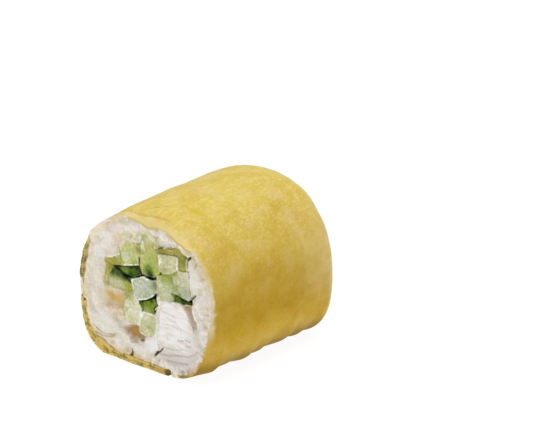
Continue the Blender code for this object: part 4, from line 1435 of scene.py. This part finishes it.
def lay_heights(look, patch):
    """Painted shade darkens the sheet low down and under it, painted light brightens it near the
    floor and on top, and its far end is hazy.
    """
    _, y, z = look.place()
    low_shade, floor_light, under_shade = (0.745, 0.605, 0.145), (1.13, 1.16, 1.35), (0.43, 0.37, 0.19)
    # Painted shade: darker and more saturated low down.
    look.lay((*low_shade, 1), look.span(z, 27, 9), look.span(z, 1, 10, 0.58, 1.0), how="MULTIPLY")
    haze = look.product(look.span(y, 4, 15, 0.0, 0.55), look.span(z, 6, 14))
    look.lay("F2DC98", haze, look.step(patch, 0.35, 0.65, 0.75, 1.1), look.span(z, 25, 18, 0.1, 1.0))
    # Painted light: the top of the sheet is paler.
    look.lay("F2DA78", look.span(z, 25, 28, 0.0, 0.25))
    # Painted light from the floor just above the bottom, then painted shade under the roll.
    look.lay((*floor_light, 1), look.span(z, 12, 7), look.span(z, 3, 7, 0.2, 1.0), how="MULTIPLY")
    look.lay((*under_shade, 1), look.span(z, 5.5, 1.6), how="MULTIPLY")


def lay_cut_edges(look, patch):
    """The sheet fades towards its cuts, and rice is smeared over it at the right."""
    x, y, z = look.place()
    ragged = look.maths("MULTIPLY", look.maths("SUBTRACT", patch, 0.5), 2.2 * MM)
    at_cut = look.span(look.maths("ADD", y, ragged), -13.9, -15.1)
    look.lay("EEDCA2", at_cut, look.span(z, 5, 12, 0.0, 0.6))
    smeared = look.product(at_cut, look.span(z, 21, 16), look.span(z, 8, 13))
    look.lay("FBF0D0", smeared, look.span(x, 8, 11, 0.0, 0.8))
    look.lay("EADCA8", look.span(y, 13.9, 15.4, 0.0, 0.5))


def sheet_material():
    look = Look("sheet_skin", 0.55, 0.2, SHEET_GLOW, 0.8, Specular_IOR_Level=0.08)
    x, _, z = look.place()
    _, crease_shade, recoloured = look.painted()
    blotch = look.fog(5.5, (1, 0.8, 1), 2.0, 3.0)
    patch = look.fog(1.7, (1, 0.7, 1), 3.0, 11.0)
    grain = look.fog(0.4, detail=3.0)
    streak = look.fog(0.8, (1, 0.25, 1), 3.0, 21.0)
    fleck = look.fog(0.45, (1, 0.6, 1), 4.0, 31.0)
    shown_rice = look.fog(3.4, detail=1.5, shift=41.0)
    wrinkles = look.fog(0.9, (1, 0.15, 1), 3.0, 5.0)
    high = look.span(look.maths("SUBTRACT", z, x), 16, 26)
    on_top = look.span(z, 17, 24, 0.3, 1.0)
    look.colour = linear("DFC358")
    look.lay_noise(
        (blotch, 0.5, 0.7, 0.2, "EBD584"),
        (blotch, 0.48, 0.3, 0.25, "CB9C30"),
        (patch, 0.45, 0.75, 0.25, "EDDA94"),
        (streak, 0.5, 0.68, 0.28, "F5E8B0", high),
        (streak, 0.46, 0.3, 0.22, "CDA840", high),
        (grain, 0.48, 0.7, 0.2, "F2E2A8"),
        (grain, 0.5, 0.3, 0.22, "C09A34"),
        (fleck, 0.5, 0.7, 0.3, "F6E8B4", on_top),
        (fleck, 0.5, 0.3, 0.3, "CDAA42", on_top),
        (shown_rice, 0.52, 0.68, 0.35, "E9CF9C"),
        (shown_rice, 0.45, 0.32, 0.4, "D2AE38"),
    )
    lay_heights(look, patch)
    look.lay("D8BC20", recoloured, 0.6)
    # Painted shade in the creases.
    look.lay("A88C3C", crease_shade, 0.45)
    lay_cut_edges(look, patch)
    return look.finish((grain, 0.06), (wrinkles, 0.07))


def rim_material():
    look = Look("sheet_cut_edge", 0.5, 0.2, SHEET_GLOW, 0.5, Specular_IOR_Level=0.25)
    x, _, z = look.place()
    outermost = look.painted()[0]
    cloud = look.fog(1.6, detail=2.0, shift=5.0)
    specks = look.fog(0.3, detail=4.0, shift=2.0)
    mottle = look.fog(0.7, detail=3.0, shift=9.0)
    left = look.product(look.span(x, 4, 1), look.span(z, 20, 18))
    speckled = look.maths("ADD", specks, look.step(outermost, 0.3, 1.0, -0.03, 0.12))
    speckled = look.maths("ADD", speckled, look.span(z, 9, 12, 0.0, 0.06))
    speckled = look.maths("ADD", speckled, look.step(cloud, 0.38, 0.62, -0.14, 0.03))
    streak = look.product(look.step(outermost, 0.14, 0.24), look.step(outermost, 0.42, 0.36))
    low = look.span(z, 1.7, 0.9, 0.0, 0.9)
    look.colour = linear("E2CA80")
    look.lay("D2AC54", look.span(z, 9, 5))
    look.lay("EACB60", left)
    look.lay("D2BE66", left, look.span(z, 9, 12.5))
    look.lay_noise(
        (outermost, 0.4, 0.05, 0.5, "E8CB90", left),
        (mottle, 0.5, 0.64, 0.6, "B0983A", left),
        (mottle, 0.46, 0.3, 0.7, "E8BC50", left),
    )
    look.lay("8A7628", streak, look.step(cloud, 0.42, 0.55, 0.1, 0.85), left)
    look.lay("4E3E14", look.step(speckled, 0.52, 0.6), left, 0.7)
    look.lay("565212", low, look.span(x, 4.2, 4.9), look.span(x, 6.9, 6.3))
    look.lay("948A22", low, look.span(x, 7.4, 8.4), look.span(x, 12, 10))
    return look.finish((specks, 0.15))


def cucumber_material(name, stripes):
    gloss = 0.02 if name in DULL_STICKS else 0.12
    look = Look("cucumber_" + name, 0.28, 0.2, (0.9, 1.0, 0.6), 0.12, Specular_IOR_Level=gloss)
    cells = look.fog(0.45, (1, 0.3, 1), 3.0, 4.0)
    lines = look.fog(0.3, (0.3, 0.3, 1.4), 2.0, 8.0)
    look.lay((2.0, 1.95, 2.6, 1), look.step(cells, 0.48, 0.7, 0.0, 0.22), how="MULTIPLY")
    look.lay((0.72, 0.78, 0.5, 1), look.step(cells, 0.5, 0.28, 0.0, 0.75), how="MULTIPLY")
    look.lay("98A060", look.step(lines, 0.45, 0.65, 0.0, 0.4 * stripes))
    return look.finish((cells, 0.08))


def rice_material():
    look = Look(
        "cooked_rice", 0.2, 0.4, (1.0, 0.85, 0.65), 0.3,
        Specular_IOR_Level=0.35, Coat_Weight=0.35, Coat_Roughness=0.12,
    )
    cloud = look.fog(1.0, detail=3.0, shift=6.0)
    blush = look.fog(2.2, detail=1.0, shift=15.0)
    speckle = look.fog(0.3, detail=2.0, shift=25.0)
    plain = look.alpha
    look.lay_noise(
        (speckle, 0.5, 0.7, 0.35, WHITE, plain),
        (speckle, 0.46, 0.3, 0.3, "C9BCA4", plain),
        (cloud, 0.5, 0.66, 0.55, "FCF8F2", plain),
        (cloud, 0.46, 0.3, 0.2, "CFBF9E", plain),
        (blush, 0.5, 0.68, 0.35, "EBDCDA", plain),
        (blush, 0.46, 0.32, 0.3, "E4DDB2", plain),
    )
    return look.finish((look.fog(0.5, detail=4.0), 0.2))


def cheese_material():
    look = Look("soft_cheese", 0.5, 0.4, (1.0, 0.9, 0.75), 0.3, Specular_IOR_Level=0.4)
    x, _, z = look.place()
    smear = look.fog(0.55, (0.25, 1, 1), 3.0, 1.0)
    flakes = look.fog(0.7, (1, 1, 0.4), 3.0, 17.0)
    look.colour = linear("EEE4DA")
    look.lay_noise((smear, 0.35, 0.6, 1.0, "FFFCF8"), (flakes, 0.45, 0.3, 0.3, "DAD2CC"))
    # Painted shade: the cheese is greyer low down and towards its right.
    look.lay("D6CEC4", look.span(z, 6.5, 3.5, 0.0, 0.8))
    look.lay("DDD2C8", look.span(x, 8.5, 11.5, 0.0, 0.6))
    look.lay(look.tint, 1.0, how="MULTIPLY")
    return look.finish((smear, 0.12))


# -------- floor, light and camera


FLOOR_REACH = 3.0
FLOOR_DROP = 0.01 * MM
STUDIO_STRENGTH = 0.36
LIGHTS = (
    ("key", (-0.06, -0.38, 0.42), 0.14, 0.7),
    ("top", (0.10, 0.05, 0.5), 0.3, 1.25),
)


def make_floor():
    material = bpy.data.materials.new("floor_white")
    material.use_nodes = True
    shader = material.node_tree.nodes["Principled BSDF"]
    set_inputs(shader, {"Base Color": (0.12, 0.12, 0.12, 1), "Roughness": 0.9})
    set_inputs(shader, {"Specular IOR Level": 0.0})
    set_inputs(shader, {"Emission Color": (1, 1, 1, 1), "Emission Strength": 0.93})
    signs = ((-1, -1), (1, -1), (1, 1), (-1, 1))
    corners = np.array([(x * FLOOR_REACH, y * FLOOR_REACH, -FLOOR_DROP) for x, y in signs])
    floor = mesh_object("floor", corners, [(0, 1, 2, 3)])
    floor.data.materials.append(material)


def area_light(name, place, size, power):
    light = bpy.data.lights.new(name, "AREA")
    light.size = size
    light.energy = power
    obj = add_object(name, light)
    obj.location = place
    aim = Vector((0, 0, AXIS_HEIGHT)) - Vector(place)
    obj.rotation_euler = aim.to_track_quat("-Z", "Y").to_euler()


def make_light():
    world = bpy.data.worlds.new("studio")
    world.use_nodes = True
    background = world.node_tree.nodes["Background"]
    set_inputs(background, {"Color": (1, 1, 1, 1), "Strength": STUDIO_STRENGTH})
    bpy.context.scene.world = world
    for name, place, size, power in LIGHTS:
        area_light(name, place, size, power)


# The camera stands where the photograph's did: 42 degrees round, 21 degrees up.
PHOTO_WIDTH, PHOTO_HEIGHT = 550, 440
CAMERA_AZIMUTH = math.radians(42.1)
CAMERA_ELEVATION = math.radians(21)
CAMERA_DISTANCE = 700 * MM
PIXELS_PER_MM = 5.89
AIM = Vector((0, 0, 12.8 * MM))
AIM_PIXEL = (207.5, 271.8)
SENSOR = 36


def make_camera():
    flat = math.cos(CAMERA_ELEVATION)
    across, ahead = math.sin(CAMERA_AZIMUTH), math.cos(CAMERA_AZIMUTH)
    back = Vector((across * flat, -ahead * flat, math.sin(CAMERA_ELEVATION)))
    right = Vector((ahead, across, 0))
    up = back.cross(right)
    aside = (PHOTO_WIDTH / 2 - AIM_PIXEL[0]) / PIXELS_PER_MM * MM
    above = (AIM_PIXEL[1] - PHOTO_HEIGHT / 2) / PIXELS_PER_MM * MM
    camera = bpy.data.cameras.new("camera")
    camera.sensor_width = SENSOR
    camera.lens = PIXELS_PER_MM / MM * CAMERA_DISTANCE * SENSOR / PHOTO_WIDTH
    camera.clip_start = 0.05
    camera.clip_end = 10
    obj = add_object("camera", camera)
    obj.location = AIM + back * CAMERA_DISTANCE + right * aside + up * above
    obj.rotation_euler = Matrix((right, up, back)).transposed().to_euler()
    bpy.context.scene.camera = obj


bpy.context.scene.view_settings.view_transform = "Standard"
make_camera()
make_light()
make_floor()
make_wrapper()
loose = {name: stick_outline(name) for name in STICKS}
loose["cheese"] = cheese_outline()
outlines = {name: swollen(name, loose) for name in STICKS}
outlines["cheese"] = loose["cheese"]
for stick_name in STICKS:
    make_stick(stick_name, outlines[stick_name])
make_cheese(outlines["cheese"])
make_rice(outlines)
